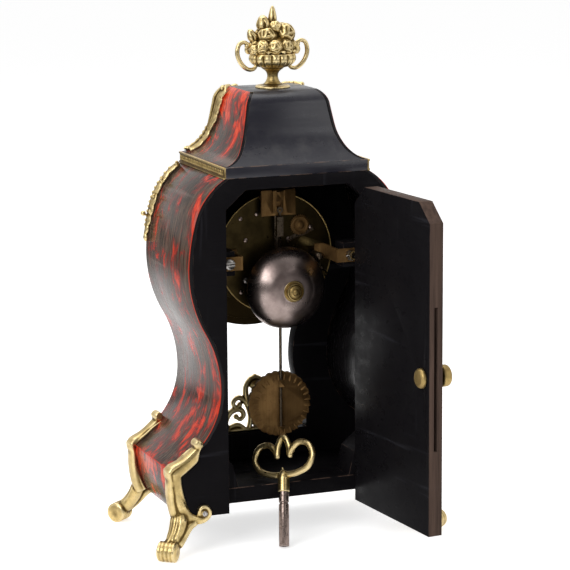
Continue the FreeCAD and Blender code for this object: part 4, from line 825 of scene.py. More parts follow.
def lathe(profile: Sequence[Place], base: Place, axis: Place = UP, around: int = 48,
          lobes: Optional[Callable[[np.ndarray, float], np.ndarray]] = None) -> Solid:
    """Return a turned solid.

    Args:
        profile: Radius and height of each ring, from one end on the axis to the other.
        base: Where the height is 0.
        axis: Direction of the height.
        around: Points round each ring.
        lobes: Gives what each radius is multiplied by, from the angles and the height.

    Returns:
        The closed solid.
    """
    up = np.asarray(axis, float) / np.linalg.norm(axis)
    first = np.cross(up, UP if abs(up[2]) < 0.9 else RIGHT)
    first /= np.linalg.norm(first)
    second = np.cross(up, first)
    angle = np.arange(around) / around * FULL_TURN
    rings = []
    for radius, height in profile:
        swell = lobes(angle, height) if lobes else np.ones(around)
        ring = np.outer(np.cos(angle) * swell, first) + np.outer(np.sin(angle) * swell, second)
        rings.append(np.asarray(base, float) + up * height + ring * max(radius, 1e-4))
    last = (len(rings) - 1) * around
    ends = [tuple(reversed(range(around))), tuple(range(last, last + around))]
    return np.vstack(rings), between(len(rings), around) + ends


def ball(centre: Place, radii: Place, axis: Place = UP) -> Solid:
    """Return an oval ball with its third radius along axis.

    Args:
        centre: Its middle.
        radii: Its three radii.
        axis: Direction of the third.

    Returns:
        The closed solid.
    """
    turns = np.radians(np.linspace(-90, 90, 11))
    places, faces = lathe([(math.cos(t), math.sin(t)) for t in turns], (0, 0, 0), UP, 16)
    turn = np.array(Vector(axis).normalized().to_track_quat("Z", "Y").to_matrix())
    return (places * np.asarray(radii)) @ turn.T + np.asarray(centre, float), faces


def mirrored(solids: Sequence[Solid], signs: Place) -> list[Solid]:
    """Return solids with their points multiplied by signs, faces still outwards."""
    way = -1 if np.prod(signs) < 0 else 1
    return [(points * np.asarray(signs), [face[::way] for face in faces]) for points, faces in solids]


def cast(solids: Sequence[Solid], name: str, voxel: float, rounds: int,
         floor: Optional[float] = None) -> Mesh:
    """Melt solids that run into each other into one casting.

    Args:
        solids: Closed solids in millimetres.
        name: Name of the mesh.
        voxel: Grain of the casting in millimetres.
        rounds: How often the surface is smoothed.
        floor: Height in millimetres that no point goes under.

    Returns:
        The mesh, with the attribute cavity: below 0 in hollows and above 0 on high places.
    """
    rough = bpy.data.objects.new(name + "_rough", mesh_from(solids, name + "_rough"))
    bpy.context.scene.collection.objects.link(rough)
    remesh = rough.modifiers.new("melt", "REMESH")
    remesh.mode = "VOXEL"
    remesh.voxel_size = voxel * MM
    mesh = bpy.data.meshes.new_from_object(rough.evaluated_get(bpy.context.evaluated_depsgraph_get()))
    bpy.data.objects.remove(rough)
    mesh.name = name
    count = len(mesh.vertices)
    places = np.empty(count * 3)
    mesh.vertices.foreach_get("co", places)
    places = places.reshape(-1, 3)
    ends = np.empty(len(mesh.edges) * 2, int)
    mesh.edges.foreach_get("vertices", ends)
    ends = np.concatenate([ends.reshape(-1, 2), ends.reshape(-1, 2)[:, ::-1]])
    valence = np.bincount(ends[:, 0], minlength=count)[:, None]

    def average(values: np.ndarray) -> np.ndarray:
        """Return the mean of each point's neighbours."""
        columns = [np.bincount(ends[:, 0], column[ends[:, 1]], count) for column in values.T]
        return np.stack(columns, 1) / valence

    for _ in range(rounds):
        places = places + SMOOTHING * (average(places) - places)
        places = places - RESTORING * (average(places) - places)
    if floor is not None:
        places[:, 2] = np.maximum(places[:, 2], floor * MM)
    mesh.vertices.foreach_set("co", places.ravel())
    mesh.update()
    normals = np.empty(count * 3)
    mesh.vertices.foreach_get("normal", normals)
    wide = places
    for _ in range(WIDE_ROUNDS):
        wide = average(wide)
    bend = ((places - wide) * normals.reshape(-1, 3)).sum(1)[:, None]
    for _ in range(CALM_ROUNDS):
        bend = average(bend)
    mark(mesh, "cavity", "POINT", np.clip(bend[:, 0] / (DEEPEST * voxel * MM), -1, 1))
    mesh.shade_smooth()
    return mesh


def copied(node: str, width: float = 0.0, angle: float = 35.0) -> Mesh:
    """Return a copy of a CAD node's mesh with its round faces shaded smooth.

    Args:
        node: Name of the node.
        width: Width in millimetres that sharp edges are rounded to, or 0.
        angle: Edges that turn more than this many degrees are rounded.

    Returns:
        The mesh. Where edges are rounded, it has the attribute edge: 1 on them.
    """
    work = bmesh.new()
    work.from_mesh(frame["nodes"][node].data)
    bmesh.ops.remove_doubles(work, verts=work.verts, dist=CAD_SAME_PLACE)
    if width:
        flat = math.radians(FLAT)
        bmesh.ops.dissolve_limit(work, angle_limit=flat, verts=work.verts, edges=work.edges)
        rubbed = work.faces.layers.float.new("edge")
        sharp = [e for e in work.edges if e.is_manifold and e.calc_face_angle(0) > math.radians(angle)]
        rounding = {"offset_type": "OFFSET", "segments": 2, "profile": 0.5, "affect": "EDGES"}
        new = bmesh.ops.bevel(work, geom=sharp, offset=width * MM, clamp_overlap=True, **rounding)
        for face in new["faces"]:
            face[rubbed] = 1.0
        bmesh.ops.triangulate(work, faces=[f for f in work.faces if len(f.verts) > 4])
    mesh = bpy.data.meshes.new(node + "_copy")
    work.to_mesh(mesh)
    work.free()
    smooth(mesh, EASED_SHARP if width else CAD_SHARP)
    return mesh


class Outline:
    """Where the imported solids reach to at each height, in millimetres."""

    def __init__(self, *nodes: str) -> None:
        """Collect the edges of the nodes' triangles."""
        ends = []
        for node in nodes:
            mesh = frame["nodes"][node].data
            places = np.array([v.co for v in mesh.vertices]) / MM
            ends.append(places[np.array([e.vertices[:] for e in mesh.edges])])
        self.ends = np.concatenate(ends)

    def reach(self, height: float, direction: Place) -> float:
        """Return how far the nodes reach in a direction at a height.

        Args:
            height: Height in millimetres.
            direction: Direction of length 1.

        Returns:
            The reach in millimetres.
        """
        low, high = self.ends[:, 0], self.ends[:, 1]
        crossing = (low[:, 2] - height) * (high[:, 2] - height) <= 0
        crossing &= np.abs(low[:, 2] - high[:, 2]) > 1e-6
        low, high = low[crossing], high[crossing]
        share = ((height - low[:, 2]) / (high[:, 2] - low[:, 2]))[:, None]
        return float(((low + share * (high - low)) @ np.asarray(direction, float)).max())

    def rim(self, heights: np.ndarray) -> tuple[np.ndarray, np.ndarray, np.ndarray]:
        """Return the right edge at each height, its direction and what points out of it, in X and Z.

        Args:
            heights: Heights in millimetres.

        Returns:
            Three arrays with a row for each height.
        """
        edge = np.array([(self.reach(z, RIGHT), z) for z in heights])
        run = unit(np.gradient(edge, axis=0))
        return edge, run, np.stack([-run[:, 1], run[:, 0]], 1)


class Repeats:
    """Geometry Nodes tree that sets out a small shape at each point of a mesh."""

    def __init__(self) -> None:
        """Build the tree once."""
        tree = bpy.data.node_groups.new("set_out", "GeometryNodeTree")
        self.tree = tree
        self.sockets = {}
        for name, kind in (("Points", "Geometry"), ("Template", "Object"), ("Finish", "Material")):
            socket = tree.interface.new_socket(name=name, in_out="INPUT", socket_type="NodeSocket" + kind)
            self.sockets[name] = socket.identifier
        tree.interface.new_socket(name="Pieces", in_out="OUTPUT", socket_type="NodeSocketGeometry")
        sheet = NodeSheet(tree)
        source = tree.nodes.new("NodeGroupInput").outputs
        ways = []
        for name in ("facing", "along"):
            way = sheet.add("GeometryNodeInputNamedAttribute", {"data_type": "FLOAT_VECTOR"}, Name=name)
            ways.append(way.outputs[0])
        axes = {"primary_axis": "Z", "secondary_axis": "X"}
        turn = sheet.add("FunctionNodeAxesToRotation", axes, *ways).outputs[0]
        template = sheet.add("GeometryNodeObjectInfo", None, Object=source["Template"]).outputs["Geometry"]
        placed = sheet.add("GeometryNodeInstanceOnPoints", None, Points=source["Points"], Instance=template)
        sheet.fill(placed, Rotation=turn)
        real = sheet.add("GeometryNodeRealizeInstances", None, Geometry=placed.outputs[0])
        painted = sheet.add("GeometryNodeSetMaterial", None, Geometry=real.outputs[0])
        sheet.fill(painted, Material=source["Finish"])
        sheet.feed(tree.nodes.new("NodeGroupOutput").inputs[0], painted.outputs[0])

    def lay(self, template: Mesh, spread: Spread, finish: Material) -> Mesh:
        """Set out a shape.

        Args:
            template: The shape, standing on the origin with its top along Z.
            spread: Points in millimetres, and the directions of the shape's top and of its X at each.
            finish: Material of the shapes.

        Returns:
            One plain mesh of all the shapes.
        """
        places, facing, along = (np.asarray(part, float) for part in spread)
        points = bpy.data.meshes.new("places")
        points.from_pydata((places * MM).tolist(), [], [])
        for name, vectors in (("facing", facing), ("along", along)):
            layer = points.attributes.new(name, "FLOAT_VECTOR", "POINT")
            layer.data.foreach_set("vector", vectors.ravel())
        model = bpy.data.objects.new("template", template)
        carrier = bpy.data.objects.new("carrier", points)
        for thing in (model, carrier):
            bpy.context.scene.collection.objects.link(thing)
        modifier = carrier.modifiers.new("set_out", "NODES")
        modifier.node_group = self.tree
        for name, value in (("Template", model), ("Finish", finish)):
            modifier[self.sockets[name]] = value
        mesh = bpy.data.meshes.new_from_object(carrier.evaluated_get(bpy.context.evaluated_depsgraph_get()))
        carrier.modifiers.clear()
        for thing in (carrier, model):
            bpy.data.objects.remove(thing)
        smooth(mesh, SMALL_SHARP)
        return mesh


class Workshop:
    """Finishes by slot, and the calls that turn solids into dressed pieces."""

    def __init__(self) -> None:
        """Make every finish once."""
        groups = ShaderGroups()
        kinds = (EbonisedWood, Marquetry, CastBrass, SheetBrass, BellMetal, Steel, BluedSteel, BareWood,
                 Enamel, ClearGlass)
        self.materials = {kind.slot: kind().build(groups) for kind in kinds}
        self.ink = NumeralInk().build(groups)
        # A much darker copy of the sheet brass for the movement: partly aged patina, partly painted shade of
        # the dark case.
        dark = SheetBrass(clean=(0.066, 0.046, 0.017, 1), aged=(0.006, 0.0045, 0.0025, 1), rough=0.22)
        self.patina_and_shade_brass = dark.build(groups)
        dull = SheetBrass(clean=(0.27, 0.16, 0.062, 1), aged=(0.10, 0.052, 0.02, 1), rough=0.52)
        self.dull_brass = dull.build(groups)
        self.dark_steel = Steel(bright=(0.13, 0.10, 0.07, 1), rust=(0.03, 0.02, 0.014, 1)).build(groups)
        self.brown_steel = Steel(bright=(0.26, 0.20, 0.175, 1), rust=(0.085, 0.058, 0.048, 1)).build(groups)
        # A darker, duller copy of the ebonised wood for the boards and the door that lie in shade: painted
        # shade.
        shaded = EbonisedWood(polish=(0.0075, 0.0068, 0.0078, 1), gloss=0.015, dust=0.07)
        self.painted_shade_wood = shaded.build(groups)
        self.repeats = Repeats()
        self.done: set[str] = set()

    def dress(self, mesh: Mesh, name: str, body: Body, slot: Slot, nodes: Sequence[str] = (),
              material: Optional[Material] = None) -> None:
        """Make a piece of a finished mesh.

        Args:
            mesh: Mesh in metres, in its place.
            name: Name of the piece.
            body: Body that it rides on.
            slot: Material slot of the record.
            nodes: CAD nodes that it stands for.
            material: Another material than the slot's own.
        """
        piece = bpy.data.objects.new(name, mesh)
        bpy.context.scene.collection.objects.link(piece)
        mesh.materials.clear()
        mesh.materials.append(material or self.materials[slot])
        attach(piece, body.value)
        if nodes:
            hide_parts(*nodes)
            self.done.update(nodes)
        LOG.info("%s rides on %s, %d faces", name, body.value, len(mesh.polygons))

    def gild(self, solids: Sequence[Solid], name: str, node: str, voxel: float, rounds: int = 2,
             body: Body = Body.CASE, floor: Optional[float] = None) -> None:
        """Make a piece of gilt brass that is cast in one.

        Args:
            solids: Closed solids in millimetres.
            name: Name of the piece.
            node: CAD node that it stands for.
            voxel: Grain of the casting in millimetres.
            rounds: How often the surface is smoothed.
            body: Body that it rides on.
            floor: Height in millimetres that no point goes under.
        """
        self.dress(cast(solids, name, voxel, rounds, floor), name, body, Slot.GILT, (node,))

    def spread(self, solids: Sequence[Solid], name: str, spread: Spread, body: Body, slot: Slot,
               material: Optional[Material] = None) -> None:
        """Make a piece of a small shape that is set out many times.

        Args:
            solids: The shape in millimetres, with its top along Z.
            name: Name of the piece.
            spread: Points, and the directions of the shape's top and of its X at each.
            body: Body that it rides on.
            slot: Material slot of the record.
            material: Another material than the slot's own.
        """
        finish = material or self.materials[slot]
        self.dress(self.repeats.lay(mesh_from(solids, name), spread, finish), name, body, slot, (), finish)


@dataclass
class Assembly:
    """A part of the clock that is built and dressed in one go."""

    shop: Workshop

    def build(self) -> None:
        """Make and dress the pieces."""
        raise NotImplementedError


@dataclass
class Woodwork(Assembly):
    """Boards, veneered sides and door of the case."""

    easing: float = 0.45
    inner_face: float = 0.25
    end_face: float = 0.9
    slot_half: float = 2.0
    past_square: float = 5.3
    latch: tuple[float, float, float] = (-51.78, 132.06, 125.5)
    boards: tuple[str, ...] = ("back_frame", "front_frame", "bottom_board", "top_board", "hood_back",
                               "hood_front", "hood_top", "case_blocks")
    # Boards that take the darker copy of the wood: painted shade.
    shaded: tuple[str, ...] = ("bottom_board", "case_blocks", "front_frame", "back_frame")
    sides: tuple[str, ...] = ("side_right", "side_left", "hood_side_right", "hood_side_left")

    def build(self) -> None:
        """Replace the case's boards with copies that have rubbed edges."""
        shop = self.shop
        for node in self.boards:
            wood = shop.painted_shade_wood if node in self.shaded else None
            shop.dress(copied(node, self.easing), node + "_polished", Body.CASE, Slot.EBONISED, (node,), wood)
        for node in self.sides:
            side = copied(node, self.easing)
            outwards = 1.0 if node.endswith("right") else -1.0
            mark(side, "inside", "FACE", [f.normal.x * outwards < self.inner_face for f in side.polygons])
            shop.dress(side, node + "_veneered", Body.CASE, Slot.MARQUETRY, (node,))
        door = copied("back_door", self.easing)
        turn = math.radians(self.past_square)
        end = Vector((-math.sin(turn), math.cos(turn), 0))
        across = Vector((math.cos(turn), math.sin(turn), 0))
        middle = across.dot(Vector(self.latch))
        bare = []
        for face in door.polygons:
            in_slot = abs(across.dot(face.center) / MM - middle) < self.slot_half
            bare.append(in_slot or face.normal.dot(end) > self.end_face)
        mark(door, "bare", "FACE", bare)
        # The door takes the darker copy of the wood too: painted shade.
        shop.dress(door, "back_door_polished", Body.DOOR, Slot.EBONISED, ("back_door",), shop.painted_shade_wood)


@dataclass
class ScrollFoot(Assembly):
    """Cast foot: a band over the case's knee, a scroll on the back, a leg with a leaf and a ridged toe."""

    outline: Outline
    back: float = 43.1
    top: float = 71.0
    knee: float = 56.0
    low: float = 25.0
    leg_root: float = 80.5
    leaf_pitch: float = 0.36
    toe: tuple[float, float, float] = (94.4, 51.0, 6.55)
    toe_radius: float = 6.3
    toe_half: float = 6.8
    toe_edge: float = 1.8
    toe_steps: int = 57
    toe_turn: float = 50.0
    ridges: int = 5
    volute: tuple[float, float] = (67.5, 27.7)
    voxel: float = 0.5

    def band(self) -> list[Solid]:
        """Return the band over the corner, its bead on the back and the roll at its top.

        Returns:
            The solids in millimetres, which run into each other.
        """
        heights = np.concatenate([np.linspace(self.top, 57.0, 18), np.linspace(55.5, self.low, 20)])
        edge, run, out = self.outline.rim(heights)
        knee = np.exp(-((heights - self.knee) / 4.0) ** 2)
        half = np.interp(heights, (self.low, 40.0, 55.0, 62.0, self.top), (5.2, 5.5, 5.6, 4.3, 3.9))
        swell = np.interp(heights, (self.low, 32.0, 42.0, 52.0), (4.2, 3.2, 1.7, 0.0))
        middle = edge + out * (0.7 + 1.3 * knee + 0.6 * swell)[:, None]
        path = np.stack([middle[:, 0], self.back + 1.5 - half, middle[:, 1]], 1)
        solids = [sweep(path, half, 1.8 + 0.5 * knee + 0.5 * swell, BACK, 2.6, 20)]
        taper = np.clip((self.top - heights) / 5.0, 0.2, 1.0)
        for inset, y, wide, thick in ((2.4, 0.7, 1.4, 3.2), (-0.9, -8.4, 0.9, 0.9)):
            bead = upright(edge - out * inset * taper[:, None], self.back + y)
            solids.append(sweep(bead, wide, thick * taper, BACK, 2.3))
        x, z = edge[0] + out[0] * 2.2 - run[0] * 1.2
        roll = (x, self.back + 2.3, z)
        profile = [(0, 0), (2.2, 0.1), (3.1, 0.9), (3.1, 8.6), (2.2, 9.4), (0, 9.5)]
        solids += [lathe(profile, roll, FRONT, 28), ball(roll, (1.3, 1.3, 0.8), BACK)]
        return solids + [ball((82.4, self.back - 1.0, 27.5), (2.8, 4.6, 3.2))]

    def scroll(self) -> list[Solid]:
        """Return the scroll on the back, which curls up round its screw.

        Returns:
            The solids in millimetres, which run into each other.
        """
        bend = [(85.6, 47.0), (84.2, 38.5), (81.8, 31.5), (78.6, 26.4), (73.6, 23.6)]
        bend += [(68.0, 23.2), (63.9, 26.4), (64.9, 30.6), (68.4, 31.6), (70.6, 29.6)]
        steps = np.arange(56)
        path = curve(bend, len(steps))
        deep = np.interp(steps, (0, 10, 20, 28, 36, 45, 55), (1.2, 2.6, 3.6, 3.3, 2.5, 1.8, 1.2))
        wide = np.interp(steps, (0, 16), (0.4, 2.0))
        x, z = self.volute
        disc = lathe([(0, 0), (4.4, 0), (4.4, 1.8), (3.2, 2.6), (0, 2.6)], (x, self.back, z), BACK, 24)
        screw = [(0, 0), (1.5, 0), (1.5, 0.5), (1.0, 0.9), (0, 0.9)]
        head = lathe(screw, (x, self.back + 2.7, z), BACK, 20)
        return [sweep(upright(path, self.back + 1.2), wide, deep, BACK, 2.4, 16), disc, head]

    def leg(self) -> list[Solid]:
        """Return the leg with its leaf, and the web beside it.

        Returns:
            The solids in millimetres, which run into each other.
        """
        count, web_count = 30, 20
        knots = [(82.8, 40.6, 32.0), (83.8, 42.6, 25.0), (85.8, 44.8, 18.5), (89.2, 47.6, 12.6)]
        spine = curve(knots + [(93.4, 50.5, 8.0)], count)
        angle = math.atan2(self.toe[1] - self.back, self.toe[0] - self.leg_root)
        across = np.array((-math.sin(angle), math.cos(angle), 0.0))
        share = np.linspace(0, 1, count)
        wide = np.interp(share, (0, 0.3, 0.7, 1), (3.6, 6.0, 5.3, 5.6))
        thick = np.interp(share, (0, 0.3, 0.7, 1), (2.4, 4.4, 4.4, 4.6))
        knots = [(73.6, 44.2, 22.0), (78.0, 44.8, 19.6), (83.0, 46.8, 14.6), (88.0, 49.4, 10.0)]
        web = curve(knots, web_count)
        web_wide, web_thick = np.linspace(2.8, 4.6, web_count), np.linspace(2.4, 3.4, web_count)
        solids = [sweep(spine, wide, thick, across, 2.2, 18), sweep(web, web_wide, web_thick, across, 2.2)]
        normal = np.cross(unit(np.gradient(spine, axis=0)), across)
        normal *= np.sign(normal[:, :1] + normal[:, 2:])
        for row in range(-2, 3):
            aside = self.leaf_pitch * row
            lift = thick * math.sqrt(1 - aside**2) - 0.1
            ridge = spine + across * (aside * wide)[:, None] + normal * lift[:, None]
            solids.append(sweep(ridge[6:27 - 2 * abs(row)], 0.75, 0.75, across, 2.0, 10))
        return solids

    def roll(self) -> Solid:
        """Return the ridged toe, a roll that lies on the table.

        Returns:
            The closed solid.
        """
        spots = np.linspace(-self.toe_half, self.toe_half, self.toe_steps)
        ends = np.clip((np.abs(spots) - self.toe_half + self.toe_edge) / self.toe_edge, 0, 1)
        swell = self.toe_radius + 0.5 * np.abs(np.cos(spots / (2 * self.toe_half) * math.pi * self.ridges))
        profile = list(zip(swell * np.sqrt(1 - 0.75 * ends**2), spots))
        turn = math.radians(self.toe_turn)
        axis = (-math.sin(turn), math.cos(turn), 0)
        return lathe([(0, -self.toe_half)] + profile + [(0, self.toe_half)], self.toe, axis, 40)

    def build(self) -> None:
        """Make the four feet."""
        solids = self.band() + self.scroll() + self.leg() + [self.roll()]
        for y, end in ((1, "back"), (-1, "front")):
            for x, side in ((1, "right"), (-1, "left")):
                node = f"foot_{end}_{side}"
                self.shop.gild(mirrored(solids, (x, y, 1)), node + "_cast", node, self.voxel, floor=0.0)


@dataclass
class CornerMounts(Assembly):
    """Cast mounts on the front corners of the body and of the hood."""

    outline: Outline
    hood: Outline
    front: float = -43.1
    body_low: float = 196.0
    body_high: float = 243.0
    hood_low: float = 253.6
    hood_high: float = 295.4
    voxel: float = 0.38

    def body_mount(self) -> list[Solid]:
        """Return the long leaf on the corner of the body, with its row of pearls and its knob.

        Returns:
            The solids in millimetres, which run into each other.
        """
        share = np.linspace(0, 1, 48)
        edge, run, out = self.outline.rim(np.linspace(self.body_high, self.body_low, len(share)))
        half = np.interp(share, (0, 0.55, 0.75, 0.9, 1), (3.4, 4.3, 3.6, 2.6, 0.8))
        half = half * (1 + 0.12 * np.sin(share * math.pi * 14))
        side = upright(edge + out * 0.8, 0.0)
        side[:, 1] = self.front - 1.2 + half
        face = upright(edge - out * (half - 0.6)[:, None], self.front - 0.5)
        solids = [sweep(side, half, 1.3, BACK, 2.4, 16), sweep(face, half, 1.2, upright(out, 0.0), 2.4, 16)]
        for spot in range(3, 40, 3):
            x, z = edge[spot] + out[spot] * 1.6
            solids.append(ball((x, self.front + 0.4, z), (1.3, 1.5, 1.15)))
        for spot, size in ((0, 1.0), (10, 0.9), (20, 0.9), (30, 0.8)):
            x, z = edge[spot] + out[spot] * 1.5
            along = (run[spot, 0], 0.3, run[spot, 1])
            solids.append(ball((x, self.front + 4.6, z), (1.1, 2.8 * size, 1.6), along))
        tip = edge[-1] + out[-1] * 0.9
        solids.append(ball((76.6, self.front + 0.6, 212.0), (1.8, 1.8, 1.8)))
        return solids + [ball((tip[0], self.front + 1.4, self.body_low), (1.7, 2.4, 3.0))]

    def hood_mount(self) -> list[Solid]:
        """Return the leaf on the corner of the hood, rolled over at its top and ridged below.

        Returns:
            The solids in millimetres, which run into each other.
        """
        share = np.linspace(0, 1, 44)
        heights = np.linspace(self.hood_high, self.hood_low, len(share))
        path = np.array([(self.hood.reach(z, RIGHT), -self.hood.reach(z, FRONT), z) for z in heights])
        path += np.array((0.5, -0.5, 0.0))
        across = np.array((1.0, 1.0, 0.0)) / math.sqrt(2)
        steps = (0, 0.12, 0.5, 0.62, 0.72, 1)
        half = np.interp(share, steps, (4.4, 4.6, 3.6, 2.6, 3.2, 3.6))
        broad = np.interp(share, steps, (5.4, 5.8, 4.4, 2.8, 3.6, 4.4)) * (1 + 0.07 * np.sin(share * 44))
        solids = [sweep(path, half, np.interp(share, (0, 0.6, 1), (1.5, 1.3, 1.5)), across, 2.3, 16)]
        for way, shift in ((BACK, (0.2, 0.6, 0)), (RIGHT, (-0.6, -0.2, 0))):
            turned = np.array(way) * np.array((-1, 1, 1))
            solids.append(sweep(path + turned * broad[:, None] + np.array(shift), broad, 1.5, way, 2.3, 16))
            lift = np.array((1.4, -1.4, 0)) * (1 - np.array(way)) - np.array(shift)
            rib = path + turned * (1.1 * broad)[:, None] + lift
            solids.append(sweep(rib[2:28], 0.9, 0.8, way, 2.0, 8))
        for spot in range(28, 43, 3):
            solids.append(ball(path[spot] + np.array((0.7, -0.7, 0.2)), (1.2, 1.2, half[spot]), across))
            solids.append(ball(path[spot] + np.array((0.8, broad[spot], 0.2)), (1.1, 1.1, broad[spot]), BACK))
        top, foot = path[0], path[-1]
        for reach, radius in ((2.0, 1.9), (7.5, 2.1)):
            solids.append(ball(top + np.array((-reach, -0.4, 0.2)), (radius, radius, 2.9), (1, 0.25, 0)))
        for sign in (-1, 1):
            curl = top + across * sign * 4.4 + np.array((-0.8, 0.8, 0.3))
            solids.append(ball(curl, (1.7, 1.7, 2.4), across))
        solids.append(ball(top + np.array((0.4, -0.4, 0.2)), (1.6, 1.6, 4.2), across))
        return solids + [ball(foot + np.array((0.5, -0.5, 0.6)), (1.4, 1.4, 3.8), across)]

    def build(self) -> None:
        """Make the four mounts."""
        for kind, solids in (("corner_mount", self.body_mount()), ("hood_mount", self.hood_mount())):
            for x, side in ((1, "right"), (-1, "left")):
                node = f"{kind}_{side}"
                self.shop.gild(mirrored(solids, (x, 1, 1)), node + "_cast", node, self.voxel)


@dataclass
class Cornice(Assembly):
    """Pressed brass band round three sides of the cornice, with a row of small leaves."""

    pitch: float = 3.1
    lip: float = 0.5
    start: float = 2.5
    hollow_half: float = 2.6

    def build(self) -> None:
        """Set the leaves on the band."""
        low, high = (np.array(c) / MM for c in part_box("cornice_band"))
        height = (low[2] + high[2]) / 2
        places, facing = [], []
        for x in (low[0] + self.lip, high[0] - self.lip):
            for y in np.arange(low[1] + self.start, high[1] - 1.2, self.pitch):
                places.append((x, y, height))
                facing.append((math.copysign(1, x), 0, 0))
        for x in np.arange(low[0] + self.start, high[0] - 2.0, self.pitch):
            places.append((x, low[1] + self.lip, height))
            facing.append(FRONT)
        leaf = [ball((0, 0, 0), (1.9, 0.8, 0.55)), ball((-1.0, 0, 0.05), (0.8, 1.3, 0.5))]
        self.shop.spread(leaf, "cornice_leaves", (places, facing, [UP] * len(places)), Body.CASE, Slot.GILT)
        band = copied("cornice_band", 0.2)
        spots = np.array([v.co.z for v in band.vertices]) / MM
        mark(band, "cavity", "POINT", np.where(np.abs(spots - height) < self.hollow_half, -0.5, 0.35))
        self.shop.dress(band, "cornice_band_eased", Body.CASE, Slot.GILT, ("cornice_band",))


